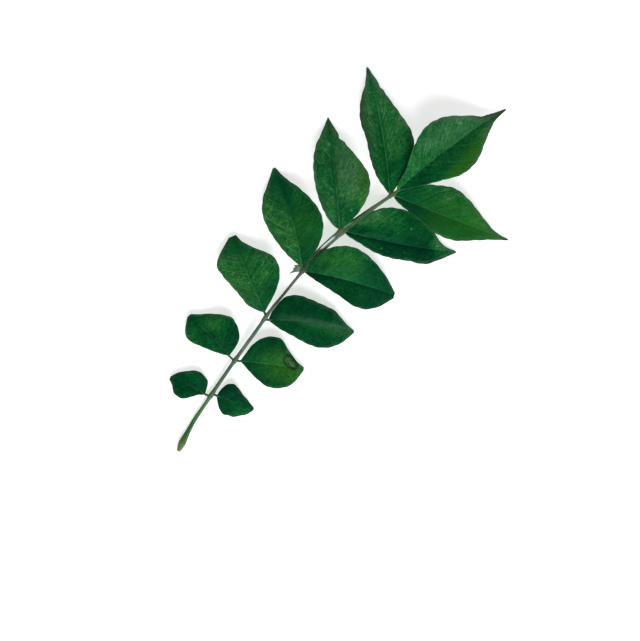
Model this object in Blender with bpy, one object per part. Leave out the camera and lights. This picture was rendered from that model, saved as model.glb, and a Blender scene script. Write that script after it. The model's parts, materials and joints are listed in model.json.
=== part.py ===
"""Curry leaf sprig: one pinnate leaf with thirteen leaflets, as cut, lying on a surface.

The plan is laid out in millimetres from the cut foot, x along the sprig to the tip of the
terminal leaflet, y to its left and z up from the surface. The solid is in metres, with its
origin on the surface under the middle of the sprig.
"""

import math
import random
from collections import namedtuple

import bpy

MM = 0.001

# Where the foot lies from the middle of the sprig
FOOT_X = -82.4
FOOT_Y = -6.9

# Stem: its route in plan, as points from the foot to the last node
STEM_ROUTE = (
    (-0.5, -0.3), (3.5, 1.1), (11.0, 3.2), (19.0, 4.6), (30.0, 6.55), (39.0, 8.0), (48.0, 9.3),
    (57.0, 10.75), (66.0, 11.65), (75.0, 12.45), (82.0, 12.95), (90.0, 12.6), (99.0, 11.45),
    (108.0, 10.0), (118.0, 7.9),
)
# Radius of the stem at these places along x: cut end, swollen foot, neck, stem, last node
STEM_RADII = (
    (-0.5, 0.5), (0.9, 0.95), (2.4, 1.25), (4.2, 1.1), (7.0, 0.85), (12.0, 0.75), (20.0, 0.65),
    (56.0, 0.6), (63.0, 0.5), (73.0, 0.5), (79.0, 0.95), (84.0, 1.1), (96.0, 1.1), (104.0, 0.85),
    (110.0, 0.65), (118.0, 0.55),
)
STEM_SIDES = 8
STEM_STEP = 3.0
# The foot lies flat up to here, then the stem rises to its full height
FOOT_LENGTH = 8.0
RISE_END = 96.0
STEM_HEIGHT = 7.6
NODE_SWELL = 0.25
NODE_REACH = 1.6

# Leaflet stalks: radius, taper inside the blade and how far they reach into it
STALK_RADIUS = 0.5
STALK_TAPER = 0.8
STALK_SIDES = 6
STALK_IN_BLADE = 2.2

# Blades: thickness, keel of the midrib below, rows along the blade, closer at its base, and
# strips across it
BLADE = 0.7
KEEL = 0.3
ROW = 1.75
LEAST_ROWS = 10
BASE_EASE = 1.25
BASE_HALF_WIDTH = 0.3
STRIPS = 4
# Teeth: rows in each, how far they stand out and in from the margin, the spread of these, and
# how fast they grow from base and tip
TOOTH_ROWS = 2
TOOTH_OUT = 0.1
TOOTH_IN = 0.25
TOOTH_SPREAD = 0.4
TOOTH_FADE = 8
SEED = 7
# Rise of each half between midrib and margin, as a share of its width
DOME = 0.05
# Wave of the margin: height, count along the blade, shift from one margin to the next, and
# the share of the length over which it grows
WAVE = 0.35
WAVES = 2.5
WAVE_SHIFT = 2.4
WAVE_START = 0.25
# Power by which a blade droops from its stalk to its tip
DROOP = 1.8
# Added to a small leaflet's share of the terminal one's length, for its teeth and waves
SMALL_LEAF = 0.2

# The half-widths of a blade are given at these shares of its length
SHARES = (0.05, 0.15, 0.30, 0.45, 0.60, 0.75, 0.88)

# A leaflet: its place along the stem, the length of its stalk and blade, its heading in degrees
# from +x to the left, the sideways bow of its midrib, the half-widths left and right of the
# line from base to tip and the blunt half-width at the tip, the arch of its midrib, the slopes
# of its left and right halves, and the height of its tip. A tip below zero lies pressed flat.
Leaflet = namedtuple("Leaflet", "place stalk length heading bow left right blunt arch fold_l fold_r tip")

LEAFLETS = {
    "terminal": Leaflet(
        117.7, 0.5, 47.8, -9, 1.1,
        (2.2, 4.4, 9.5, 11.8, 10.6, 6.1, 2.1), (1.3, 3.5, 6.5, 9.1, 8.3, 4.2, 1.05), 0.2,
        2.6, 0.28, 0.20, -0.6),
    "left_6": Leaflet(
        115.2, 0.7, 45.2, 54, -1.2,
        (1.5, 3.5, 4.6, 4.8, 5.7, 4.4, 1.7), (3.0, 7.9, 11.1, 11.2, 8.4, 5.2, 2.7), 0.2,
        -0.4, 0.16, 0.02, 1.2),
    "left_5": Leaflet(
        94.0, 1.15, 39.3, 50, -0.2,
        (2.6, 4.7, 6.4, 7.1, 6.9, 5.5, 2.7), (3.8, 7.9, 11.5, 11.9, 9.0, 5.1, 2.3), 0.2,
        1.4, 0.15, 0.26, -0.6),
    "left_4": Leaflet(
        75.7, 1.2, 35.8, 60, -1.1,
        (1.8, 4.0, 6.3, 7.9, 8.3, 6.5, 3.3), (3.4, 7.6, 10.8, 11.3, 9.5, 6.3, 2.7), 0.5,
        2.0, -0.14, 0.16, -0.3),
    "left_3": Leaflet(
        55.0, 1.8, 28.5, 67, 0.3,
        (1.7, 4.1, 5.6, 7.1, 8.5, 8.9, 5.7), (2.3, 5.9, 9.5, 11.0, 10.1, 6.0, 2.8), 1.3,
        1.2, 0.08, 0.12, 1.6),
    "left_2": Leaflet(
        36.0, 2.8, 19.7, 89, -0.4,
        (0.8, 1.9, 3.3, 4.5, 5.5, 5.6, 4.0), (5.7, 8.2, 9.7, 10.1, 8.4, 5.9, 3.1), 0.8,
        0.8, 0.12, 0.06, 1.4),
    "left_1": Leaflet(
        21.2, 2.25, 13.3, 109, -0.4,
        (0.7, 1.3, 3.1, 4.6, 4.8, 4.1, 1.9), (4.3, 5.4, 6.2, 6.2, 5.3, 4.0, 2.7), 0.6,
        0.5, 0.12, 0.08, 1.2),
    "right_6": Leaflet(
        115.9, 0.8, 42.8, -67, -0.4,
        (2.9, 6.4, 8.8, 10.0, 7.8, 4.0, 1.1), (1.9, 3.4, 5.3, 7.3, 7.0, 4.4, 2.0), 0.2,
        -0.8, -0.04, 0.16, -0.6),
    "right_5": Leaflet(
        94.9, 0.8, 39.6, -56.5, -1.0,
        (2.9, 6.8, 10.2, 11.2, 10.0, 6.3, 1.6), (1.8, 3.3, 5.5, 6.4, 6.2, 6.2, 3.5), 0.3,
        -0.3, 0.04, 0.14, 0.3),
    "right_4": Leaflet(
        75.1, 0.8, 32.6, -61, 0.9,
        (4.2, 9.0, 12.0, 12.5, 11.3, 8.5, 5.1), (1.0, 2.2, 3.8, 5.4, 7.2, 7.2, 4.9), 1.0,
        1.2, 0.20, 0.24, -0.4),
    "right_3": Leaflet(
        53.7, 1.75, 30.0, -54, 1.2,
        (4.5, 8.7, 10.0, 9.2, 7.9, 6.3, 2.9), (1.1, 2.7, 4.4, 6.1, 7.1, 6.5, 4.2), 0.4,
        1.4, -0.12, 0.06, 0.8),
    "right_2": Leaflet(
        36.3, 2.1, 22.1, -53, 0.2,
        (2.4, 6.2, 9.0, 9.9, 9.3, 5.3, 2.3), (1.1, 3.1, 5.7, 7.6, 7.9, 7.1, 5.0), 0.6,
        1.0, 0.06, 0.10, 1.0),
    "right_1": Leaflet(
        22.3, 1.95, 13.5, -66, 0.1,
        (3.1, 5.1, 5.9, 5.1, 3.6, 2.5, 1.3), (1.7, 3.8, 5.3, 5.1, 4.9, 3.6, 2.6), 0.4,
        0.4, 0.10, -0.06, 0.6),
}

# Nicks in the margin: leaflet, side, share of the length, half-length in shares, depth
NICKS = (
    ("left_6", "right", 0.83, 0.03, 0.5),
    ("left_5", "right", 0.80, 0.04, 0.8),
    ("terminal", "left", 0.82, 0.05, 0.7),
)

LEAF_COLOUR = (0.010, 0.075, 0.022, 1.0)
LEAF_ROUGHNESS = 0.45


def smooth(x, points):
    """Height at x of the smooth curve through points, each an (x, height) pair."""
    if x <= points[0][0]:
        return points[0][1]
    if x >= points[-1][0]:
        return points[-1][1]
    i = next(k for k in range(len(points) - 1) if points[k + 1][0] >= x)

    def slope(k):
        lo, hi = max(k - 1, 0), min(k + 1, len(points) - 1)
        return (points[hi][1] - points[lo][1]) / (points[hi][0] - points[lo][0])

    (x0, y0), (x1, y1) = points[i], points[i + 1]
    span = x1 - x0
    t = (x - x0) / span
    a = y0 * (1 + 2 * t) + slope(i) * span * t
    b = y1 * (3 - 2 * t) - slope(i + 1) * span * (1 - t)
    return a * (1 - t) ** 2 + b * t * t


def ease(t):
    """Smooth step from 0 to 1."""
    t = min(max(t, 0.0), 1.0)
    return t * t * (3 - 2 * t)


def stem_radius(x):
    """Radius of the stem at x, with a slight swelling at each node."""
    swell = max(1 - abs(x - leaf.place) / NODE_REACH for leaf in LEAFLETS.values())
    return smooth(x, STEM_RADII) + NODE_SWELL * ease(swell)


def stem_point(x):
    """Centre of the stem at x: its route in plan, flat at the foot and rising to full height."""
    flat = stem_radius(x) * math.cos(math.pi / STEM_SIDES)
    rise = ease((x - FOOT_LENGTH) / (RISE_END - FOOT_LENGTH))
    return (x, smooth(x, STEM_ROUTE), flat + (STEM_HEIGHT - flat) * rise)


def tube(name, centres, radii, sides):
    """Closed tube of flat-bottomed rings round a line of centres that runs mostly level."""
    verts, faces = [], []
    for k, (x, y, z) in enumerate(centres):
        ahead, behind = centres[min(k + 1, len(centres) - 1)], centres[max(k - 1, 0)]
        run = math.hypot(ahead[0] - behind[0], ahead[1] - behind[1])
        across = (-(ahead[1] - behind[1]) / run, (ahead[0] - behind[0]) / run)
        for side in range(sides):
            angle = 2 * math.pi * (side + 0.5) / sides - math.pi / 2
            out = radii[k] * math.cos(angle)
            verts.append((x + across[0] * out, y + across[1] * out, z + radii[k] * math.sin(angle)))
    for k in range(len(centres) - 1):
        for side in range(sides):
            a, b = k * sides + side, k * sides + (side + 1) % sides
            faces.append((a, b, b + sides, a + sides))
    faces.append(tuple(reversed(range(sides))))
    last = (len(centres) - 1) * sides
    faces.append(tuple(range(last, last + sides)))
    return add_mesh(name, verts, faces)


def add_mesh(name, verts, faces):
    """Object with this mesh, its plan millimetres turned into metres from the sprig's middle."""
    mesh = bpy.data.meshes.new(name)
    placed = [((x + FOOT_X) * MM, (y + FOOT_Y) * MM, z * MM) for x, y, z in verts]
    mesh.from_pydata(placed, [], faces)
    mesh.validate()
    obj = bpy.data.objects.new(name, mesh)
    bpy.context.scene.collection.objects.link(obj)
    return obj


def make_stem():
    """Stem from the cut foot to the last node."""
    start, end = STEM_ROUTE[0][0], STEM_ROUTE[-1][0]
    steps = round((end - start) / STEM_STEP)
    places = {round(start + (end - start) * k / steps, 3) for k in range(steps + 1)}
    places |= {x for x, radius in STEM_RADII}
    places = sorted(places)
    clear = [x for k, x in enumerate(places) if k == 0 or x - places[k - 1] > STEM_STEP / 5]
    return tube("stem", [stem_point(x) for x in clear], [stem_radius(x) for x in clear], STEM_SIDES)


def leaflet_point(leaf, along, across):
    """Plan point this far along a leaflet's heading from its node and this far to its left."""
    heading = math.radians(leaf.heading)
    x, y, z = stem_point(leaf.place)
    return (x + math.cos(heading) * along - math.sin(heading) * across,
            y + math.sin(heading) * along + math.cos(heading) * across)


def midrib(leaf, u):
    """Sideways bow and height of a leaflet's midrib at the share u of its length."""
    arc = 4 * u * (1 - u)
    drop = u ** DROOP
    z = stem_point(leaf.place)[2] * (1 - drop) + leaf.tip * drop + leaf.arch * arc
    return leaf.bow * arc, z


def coarseness(leaf):
    """Size of a leaflet's teeth and waves as a share of the terminal leaflet's."""
    return min(1.0, leaf.length / LEAFLETS["terminal"].length + SMALL_LEAF)


def half_width(name, side, u):
    """Distance of a blade's margin from the line base to tip, at the share u of its length."""
    leaf = LEAFLETS[name]
    widths = leaf.left if side == "left" else leaf.right
    knots = [(0.0, 0.0)] + [(math.sqrt(s), w) for s, w in zip(SHARES, widths)] + [(1.0, leaf.blunt)]
    width = smooth(math.sqrt(u), knots)
    for nick_leaf, nick_side, at, half, depth in NICKS:
        if (nick_leaf, nick_side) == (name, side):
            width -= depth * ease(1 - abs(u - at) / half)
    return max(width, BASE_HALF_WIDTH if u < SHARES[0] else leaf.blunt)


def blade_height(name, side, u, s, margin):
    """Height of a blade at the share u of its length and s of its half-width, margin."""
    leaf = LEAFLETS[name]
    fold = leaf.fold_l if side == "left" else leaf.fold_r
    phase = WAVE_SHIFT * (2 * list(LEAFLETS).index(name) + (side == "left"))
    wave = WAVE * coarseness(leaf) * s * s * math.sin(2 * math.pi * WAVES * u + phase)
    rise = fold * s * margin + DOME * 4 * s * (1 - s) * margin
    return midrib(leaf, u)[1] + rise + wave * ease(u / WAVE_START)


def make_blade(name, leaf, draw):
    """Blade of one leaflet: a toothed, folded and arched sheet, triangulated alike on both faces."""
    rows = max(LEAST_ROWS, TOOTH_ROWS * round(leaf.length / ROW / TOOTH_ROWS))
    top, bottom = [], []
    for row in range(rows + 1):
        u = (row / rows) ** BASE_EASE
        middle = midrib(leaf, u)[0]
        tooth = (-TOOTH_IN if row % TOOTH_ROWS else TOOTH_OUT) * coarseness(leaf)
        tooth *= min(1.0, TOOTH_FADE * u * (1 - u))
        for strip in range(STRIPS + 1):
            s = 2 * strip / STRIPS - 1
            side, sign = ("left", 1) if s > 0 else ("right", -1)
            margin = half_width(name, side, u) + tooth * draw.uniform(1 - TOOTH_SPREAD, 1 + TOOTH_SPREAD)
            margin = max(margin, BASE_HALF_WIDTH / 2) - sign * middle
            x, y = leaflet_point(leaf, leaf.stalk + leaf.length * u, s * margin + middle)
            z = blade_height(name, side, u, abs(s), margin)
            keel = KEEL * (1 - u) if s == 0 else 0.0
            top.append((x, y, max(z + BLADE / 2, BLADE)))
            bottom.append((x, y, max(z - BLADE / 2 - keel, 0.0)))

    wide = STRIPS + 1
    count = len(top)
    faces = []
    for row in range(rows):
        for strip in range(STRIPS):
            a, b = row * wide + strip, row * wide + strip + 1
            d, c = a + wide, b + wide
            for tri in ((a, d, c), (a, c, b)) if strip < STRIPS / 2 else ((a, d, b), (b, d, c)):
                faces.append(tri)
                faces.append(tuple(count + v for v in reversed(tri)))
    rim = [row * wide for row in range(rows + 1)]
    rim += [rows * wide + strip for strip in range(1, wide)]
    rim += [row * wide + wide - 1 for row in range(rows - 1, -1, -1)]
    rim += [strip for strip in range(wide - 2, 0, -1)]
    for a, b in zip(rim, rim[1:] + rim[:1]):
        faces.append((b, a, count + a, count + b))
    return add_mesh(name, top + bottom, faces)


def make_stalk(name, leaf):
    """Stalk of one leaflet, from inside the stem to a taper inside the blade."""
    centres = []
    for run in (0.0, leaf.stalk, leaf.stalk + STALK_IN_BLADE):
        bow, z = midrib(leaf, max(run - leaf.stalk, 0.0) / leaf.length)
        centres.append((*leaflet_point(leaf, run, bow), z))
    radii = (STALK_RADIUS, STALK_RADIUS, STALK_RADIUS * STALK_TAPER)
    return tube(name + "_stalk", centres, radii, STALK_SIDES)


def leaf_material():
    """Glossy dark green of the leaf."""
    material = bpy.data.materials.new("leaf")
    material.use_nodes = True
    shader = material.node_tree.nodes["Principled BSDF"]
    shader.inputs["Base Color"].default_value = LEAF_COLOUR
    shader.inputs["Roughness"].default_value = LEAF_ROUGHNESS
    shader.inputs["Metallic"].default_value = 0.0
    return material


def join_frond(stem, shoots):
    """One closed body of the stem and all that grows from it."""
    group = bpy.data.collections.new("shoots")
    bpy.context.scene.collection.children.link(group)
    for shoot in shoots:
        bpy.context.scene.collection.objects.unlink(shoot)
        group.objects.link(shoot)
    union = stem.modifiers.new("union", "BOOLEAN")
    union.operation = "UNION"
    union.operand_type = "COLLECTION"
    union.collection = group
    union.solver = "EXACT"
    bpy.context.view_layer.objects.active = stem
    bpy.ops.object.modifier_apply(modifier=union.name)
    for shoot in shoots:
        bpy.data.objects.remove(shoot)
    bpy.data.collections.remove(group)
    return stem


def main():
    for obj in list(bpy.data.objects):
        bpy.data.objects.remove(obj)
    draw = random.Random(SEED)
    stem = make_stem()
    shoots = []
    for name, leaf in LEAFLETS.items():
        shoots.append(make_blade(name, leaf, draw))
        shoots.append(make_stalk(name, leaf))
    frond = join_frond(stem, shoots)
    frond.name = "frond"
    frond.data.materials.clear()
    frond.data.materials.append(leaf_material())


main()
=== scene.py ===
"""Curry leaf sprig, dressed: a stem, its leaflet stalks and thirteen toothed leaflets.

Plans are in millimetres from the cut foot, x along the sprig to the tip of the terminal
leaflet, y to its left and z up from the surface. Pieces are in metres, in the frame of the
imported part.
"""

import json
import math
import random
from collections import namedtuple

import bpy
from bpy.props import FloatProperty, FloatVectorProperty, PointerProperty
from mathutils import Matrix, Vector, noise


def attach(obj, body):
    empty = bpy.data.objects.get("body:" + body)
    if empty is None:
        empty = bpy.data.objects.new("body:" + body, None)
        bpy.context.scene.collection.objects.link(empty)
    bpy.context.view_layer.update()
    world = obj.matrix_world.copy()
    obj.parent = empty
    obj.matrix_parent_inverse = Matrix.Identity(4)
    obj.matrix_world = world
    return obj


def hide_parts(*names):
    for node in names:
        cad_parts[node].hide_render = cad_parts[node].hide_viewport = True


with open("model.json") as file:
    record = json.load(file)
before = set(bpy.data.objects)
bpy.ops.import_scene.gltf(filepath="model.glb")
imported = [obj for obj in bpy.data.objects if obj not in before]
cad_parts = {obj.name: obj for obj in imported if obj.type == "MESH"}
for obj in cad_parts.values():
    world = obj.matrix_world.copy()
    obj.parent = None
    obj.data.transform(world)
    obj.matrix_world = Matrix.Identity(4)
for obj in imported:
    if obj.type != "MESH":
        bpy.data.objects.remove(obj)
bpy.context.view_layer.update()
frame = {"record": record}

bl_info = {
    "name": "Curry Leaf Sprig",
    "version": (1, 0, 0),
    "blender": (4, 5, 0),
    "location": "View3D > Sidebar > Sprig",
    "description": "Builds a curry leaf sprig and the stage that it lies on",
    "category": "Add Mesh",
}

MM = 0.001
BODY = "root"
NODE = "frond"

# The foot's place in the frame, from the record's flat spot, which lies here in the plan
REST = next(m["pos_m"] for m in frame["record"]["mounts"] if m["name"] == "rest")
REST_PLAN = (3.0, 0.8)
FOOT_X = REST[0] / MM - REST_PLAN[0]
FOOT_Y = REST[1] / MM - REST_PLAN[1]

# Stem: its route in plan, its radius at places along x, how far its middle lies to the left of
# the route, the length of its flat foot and the end of its rise, and the swelling at a node
STEM_ROUTE = (
    (-0.5, -0.3), (3.5, 1.1), (11.0, 3.2), (19.0, 4.6), (30.0, 6.55), (39.0, 8.0), (48.0, 9.3),
    (57.0, 10.75), (66.0, 11.65), (75.0, 12.45), (82.0, 12.95), (90.0, 12.6), (99.0, 11.45),
    (108.0, 10.0), (118.0, 7.9),
)
STEM_RADII = (
    (-0.5, 0.5), (0.9, 0.95), (2.4, 1.25), (4.2, 1.1), (7.0, 0.85), (12.0, 0.75), (20.0, 0.65),
    (56.0, 0.6), (63.0, 0.48), (71.0, 0.48), (75.0, 0.7), (79.0, 0.95), (84.0, 1.1), (96.0, 1.1),
    (104.0, 0.85), (110.0, 0.65), (118.0, 0.55),
)
STEM_SHIFT = (
    (30.0, 0.0), (50.0, -0.08), (60.0, -0.15), (65.0, -0.25), (80.0, -0.28), (92.0, -0.28),
    (95.5, -0.14), (98.0, -0.14), (101.0, -0.28), (113.0, -0.32), (118.0, -0.2),
)
FOOT_LENGTH = 8.0
RISE_END = 96.0
NODE_SWELL = 0.25
NODE_REACH = 1.6

# Blades: their base, the teeth of their margins, crown, waves and droop, and what is added to a
# small leaflet's share of the terminal one's size
BASE_EASE = 1.25
BASE_HALF_WIDTH = 0.3
TOOTH_ROW = 1.75
TOOTH_IN = 0.25
TOOTH_OUT = 0.1
TOOTH_FADE = 8
DOME = 0.05
WAVE = 0.35
WAVES = 2.5
WAVE_SHIFT = 2.4
WAVE_START = 0.25
DROOP = 1.8
SMALL_LEAF = 0.2
# A leaflet: its node's place on the stem, the lengths of its stalk and its blade, its heading in
# degrees from x, its sideways bow, its half widths to the left and right at SHARES of its length
# and at its tip, its arch, the rise of its halves from the midrib, and the height of its tip
SHARES = (0.05, 0.15, 0.30, 0.45, 0.60, 0.75, 0.88)
Leaflet = namedtuple(
    "Leaflet", "place stalk length heading bow left right blunt arch fold_l fold_r tip")

LEAFLETS = {
    "terminal": Leaflet(
        117.7, 0.5, 47.75, -9, 1.1,
        (2.2, 4.3, 9.15, 11.8, 10.55, 5.85, 2.1), (1.3, 3.5, 6.5, 9.1, 8.3, 4.2, 1.05), 0.2,
        2.6, 0.28, 0.20, -0.6),
    "left_6": Leaflet(
        115.2, 0.7, 45.05, 54, -1.2,
        (1.5, 3.5, 4.6, 4.8, 5.7, 4.4, 1.7), (3.0, 7.9, 11.1, 11.2, 8.4, 5.2, 2.7), 0.2,
        -0.4, 0.16, 0.02, 1.2),
    "left_5": Leaflet(
        94.0, 1.15, 39.3, 50, -0.2,
        (2.6, 4.7, 6.4, 7.1, 6.9, 5.5, 2.7), (3.8, 7.9, 11.5, 11.9, 9.0, 5.1, 2.3), 0.2,
        1.4, 0.15, 0.26, -0.6),
    "left_4": Leaflet(
        75.7, 1.2, 35.8, 60, -1.1,
        (1.8, 4.0, 6.3, 7.9, 8.3, 6.5, 3.3), (3.4, 7.6, 10.8, 11.3, 9.5, 6.3, 2.7), 0.5,
        2.0, -0.14, 0.16, -0.3),
    "left_3": Leaflet(
        55.0, 1.8, 28.5, 67, 0.3,
        (2.1, 4.4, 5.7, 7.1, 8.5, 8.9, 5.7), (2.3, 5.9, 9.5, 11.0, 10.1, 6.0, 2.8), 1.3,
        1.2, 0.08, 0.12, 1.6),
    "left_2": Leaflet(
        36.0, 2.8, 19.7, 89, -0.4,
        (0.8, 1.9, 3.3, 4.5, 5.7, 6.0, 4.2), (5.7, 8.2, 9.7, 10.1, 8.4, 5.9, 3.1), 0.8,
        0.8, 0.12, 0.06, 1.4),
    "left_1": Leaflet(
        21.2, 2.25, 13.3, 109, -0.4,
        (0.7, 1.3, 3.1, 4.6, 4.8, 4.1, 1.9), (4.3, 5.4, 6.2, 6.2, 5.3, 4.0, 2.7), 0.6,
        0.5, 0.12, 0.08, 1.2),
    "right_6": Leaflet(
        115.9, 0.8, 42.8, -67, -0.4,
        (2.9, 6.4, 8.8, 10.0, 7.8, 4.0, 1.1), (1.9, 3.4, 5.3, 7.3, 7.0, 4.4, 2.0), 0.2,
        -0.8, -0.04, 0.16, -0.6),
    "right_5": Leaflet(
        94.9, 0.8, 39.6, -56.5, -1.0,
        (2.9, 6.8, 10.4, 11.2, 10.0, 6.3, 1.6), (1.8, 3.3, 5.5, 6.4, 6.2, 6.2, 3.5), 0.3,
        -0.3, 0.04, 0.14, 0.3),
    "right_4": Leaflet(
        75.1, 0.8, 32.6, -61, 0.9,
        (4.2, 8.9, 11.7, 12.5, 11.3, 8.5, 5.1), (1.0, 2.2, 3.8, 5.4, 7.2, 7.2, 4.9), 1.0,
        1.2, 0.20, 0.24, -0.4),
    "right_3": Leaflet(
        53.7, 1.75, 30.0, -54, 1.2,
        (4.5, 8.7, 10.0, 9.2, 7.9, 6.3, 2.9), (1.1, 2.7, 4.4, 6.1, 7.1, 6.5, 4.2), 0.4,
        1.4, -0.12, 0.06, 0.8),
    "right_2": Leaflet(
        36.3, 2.1, 22.1, -53, 0.2,
        (2.4, 6.2, 9.0, 9.9, 9.3, 5.3, 2.3), (1.1, 3.1, 5.7, 7.6, 7.9, 7.1, 5.0), 0.6,
        1.0, 0.06, 0.10, 1.0),
    "right_1": Leaflet(
        22.3, 1.95, 13.5, -66, 0.1,
        (3.1, 5.1, 5.9, 5.1, 3.6, 2.5, 1.3), (1.7, 3.8, 5.3, 5.1, 4.9, 3.6, 2.6), 0.4,
        0.4, 0.10, -0.06, 0.6),
}

# Nicks in the margins: leaflet, side, place as a share of the length, half length and depth
NICKS = (
    ("left_6", "right", 0.83, 0.03, 0.5),
    ("left_5", "right", 0.80, 0.04, 0.8),
    ("terminal", "left", 0.82, 0.05, 0.7),
)

# Mesh of a blade: length of a row at the margin and of a cell across, fewest cells across a
# half, and how strongly cells gather at midrib and margin and rows at the base
CELL_ALONG = 0.3
CELL_ACROSS = 0.42
LEAST_COLUMNS = 12
GATHER = 0.6
ROW_GATHER = 1.1
# Side veins: how far their outer end runs ahead of the inner one, their bend and the share of
# the length at which it is full, their spacing and its scatter, less for weak ones
SWEEP = 0.8
SWEEP_POWER = 1.5
VEIN_BEND = 0.25
BEND_FULL = 0.4
VEIN_SPACING = 4.3
VEIN_SCATTER = 0.22
WEAK_SCATTER = 1.5
# Where along the blade side veins lie, the strengths of strong and weak ones, and the line of
# loops that joins their outer ends
VEIN_RANGE = (0.04, 0.9)
STRONG_VEIN = (0.75, 1.0)
WEAK_VEIN = (0.2, 0.5)
LOOP_AT = 0.86
LOOP_DIP = 0.07
LOOP_SLOPE = 1.6
LOOP_FAINT = 0.1
# Relief of a side vein: half widths of its groove and of the dip round it, how far these reach,
# and from where across the blade, over what share and how much they fade
GROOVE_HALF = 0.3
DIP_HALF = 1.0
VEIN_REACH = 6.0
FADE_START = 0.55
FADE_OVER = 0.4
FADE_BY = 0.8
LEAST_FADE = 0.15
NO_VEIN = 9.0
# Distance from one row to the next, square to the veins, as a share of that along the blade
PITCH_SHARE = 0.8
LEAST_PITCH = 0.02
# Channel of the midrib: its half width and how much it fades to the tip
CHANNEL_HALF = 0.28
CHANNEL_FADE = 0.6
# Shares of the blade's thickness at the midrib, in the blade and at the margin, how wide midrib
# and margin are, and how much the midrib fades to the tip
THICK_RIB = 1.0
THICK_BLADE = 0.66
THICK_MARGIN = 0.36
RIB_HALF = 0.5
MARGIN_WIDTH = 1.2
RIB_FADE = 0.7
# Uneven lie of a blade: sizes of its swells with shares of their height, the range from which
# their start is drawn, how far from the midrib they are full and their share there, and the
# share of the length before which they are low
SWELLS = ((7.5, 1.0), (3.2, 0.45), (1.3, 0.16))
SWELL_RANGE = 50
CALM_WIDTH = 1.5
CALM_SHARE = 0.3
CALM_BASE = 0.1
# Unevenness of the teeth, and how far apart teeth and sides lie in the noise that draws it
TOOTH_UNEVEN = 0.6
TOOTH_STRIDE = 1.7
SIDE_STRIDE = 9.0
# First random seed of the blades, and the angles from which edges are shaded sharp, on stem and
# bud and on blades
BLADE_SEED = 11
STEM_SHARP = math.radians(50)
BLADE_SHARP = math.radians(60)
# The maps on a blade are this long, and as wide
MAP_SIDE = 60.0


def smooth(x, points):
    """Height at x of the smooth curve through points, each an (x, height) pair."""
    if x <= points[0][0]:
        return points[0][1]
    if x >= points[-1][0]:
        return points[-1][1]
    i = next(k for k in range(len(points) - 1) if points[k + 1][0] >= x)

    def slope(k):
        lo, hi = max(k - 1, 0), min(k + 1, len(points) - 1)
        return (points[hi][1] - points[lo][1]) / (points[hi][0] - points[lo][0])

    (x0, y0), (x1, y1) = points[i], points[i + 1]
    span = x1 - x0
    t = (x - x0) / span
    a = y0 * (1 + 2 * t) + slope(i) * span * t
    b = y1 * (3 - 2 * t) - slope(i + 1) * span * (1 - t)
    return a * (1 - t) ** 2 + b * t * t


def ease(t):
    """Smooth step from 0 to 1."""
    t = min(max(t, 0.0), 1.0)
    return t * t * (3 - 2 * t)


def bell(distance, width):
    """Bump of height 1 at distance 0 that has died away at a few widths."""
    return math.exp(-(distance / width) ** 2)


def stem_radius(x):
    """Radius of the stem at x, with a slight swelling at each node."""
    swell = max(1 - abs(x - leaf.place) / NODE_REACH for leaf in LEAFLETS.values())
    return smooth(x, STEM_RADII) + NODE_SWELL * ease(swell)


def stem_point(x):
    """Centre of the stem at x: its route in plan, flat at the foot and rising to full height."""
    height = bpy.context.scene.sprig_shape.stem_height / MM
    low = stem_radius(x)
    rise = ease((x - FOOT_LENGTH) / (RISE_END - FOOT_LENGTH))
    return Vector((x, smooth(x, STEM_ROUTE), low + (height - low) * rise))


def leaflet_point(leaf, along, across):
    """Plan point this far along a leaflet's heading from its node and this far to its left."""
    heading = math.radians(leaf.heading)
    node = stem_point(leaf.place)
    return (node.x + math.cos(heading) * along - math.sin(heading) * across,
            node.y + math.sin(heading) * along + math.cos(heading) * across)


def midrib(leaf, u):
    """Sideways bow and height of a leaflet's midrib at the share u of its length."""
    arc = 4 * u * (1 - u)
    drop = u ** DROOP
    z = stem_point(leaf.place)[2] * (1 - drop) + leaf.tip * drop + leaf.arch * arc
    return leaf.bow * arc, z


def coarseness(leaf):
    """Size of a leaflet's teeth and waves as a share of the terminal leaflet's."""
    return min(1.0, leaf.length / LEAFLETS["terminal"].length + SMALL_LEAF)


def half_width(name, side, u):
    """Distance of a blade's margin from the line base to tip, at the share u of its length."""
    leaf = LEAFLETS[name]
    widths = leaf.left if side == "left" else leaf.right
    knots = [(0.0, 0.0)] + [(math.sqrt(s), w) for s, w in zip(SHARES, widths)] + [(1.0, leaf.blunt)]
    width = smooth(math.sqrt(u), knots)
    for nick_leaf, nick_side, at, half, depth in NICKS:
        if (nick_leaf, nick_side) == (name, side):
            width -= depth * ease(1 - abs(u - at) / half)
    return max(width, BASE_HALF_WIDTH if u < SHARES[0] else leaf.blunt)


def blade_height(name, side, u, s, margin):
    """Height of a blade at the share u of its length and s of its half-width, margin."""
    leaf = LEAFLETS[name]
    fold = leaf.fold_l if side == "left" else leaf.fold_r
    phase = WAVE_SHIFT * (2 * list(LEAFLETS).index(name) + (side == "left"))
    wave = WAVE * coarseness(leaf) * s * s * math.sin(2 * math.pi * WAVES * u + phase)
    rise = fold * s * margin + DOME * 4 * s * (1 - s) * margin
    return midrib(leaf, u)[1] + rise + wave * ease(u / WAVE_START)


def placed(x, y, z):
    """Point of the frame, in metres, from a point of the plan."""
    return Vector(((x + FOOT_X) * MM, (y + FOOT_Y) * MM, z * MM))


def clear_selection():
    """Leaves object mode with nothing selected."""
    if bpy.context.object and bpy.context.object.mode != "OBJECT":
        bpy.ops.object.mode_set(mode="OBJECT")
    bpy.ops.object.select_all(action="DESELECT")


def settle():
    """Puts the place of the object just added into its mesh, and returns it."""
    bpy.ops.object.transform_apply(location=True, rotation=True, scale=True)
    return bpy.context.object


def keep(obj, name):
    """Names a finished piece and ties it to the frame."""
    obj.name = obj.data.name = name
    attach(obj, BODY)
    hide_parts(NODE)
    return obj


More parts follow.
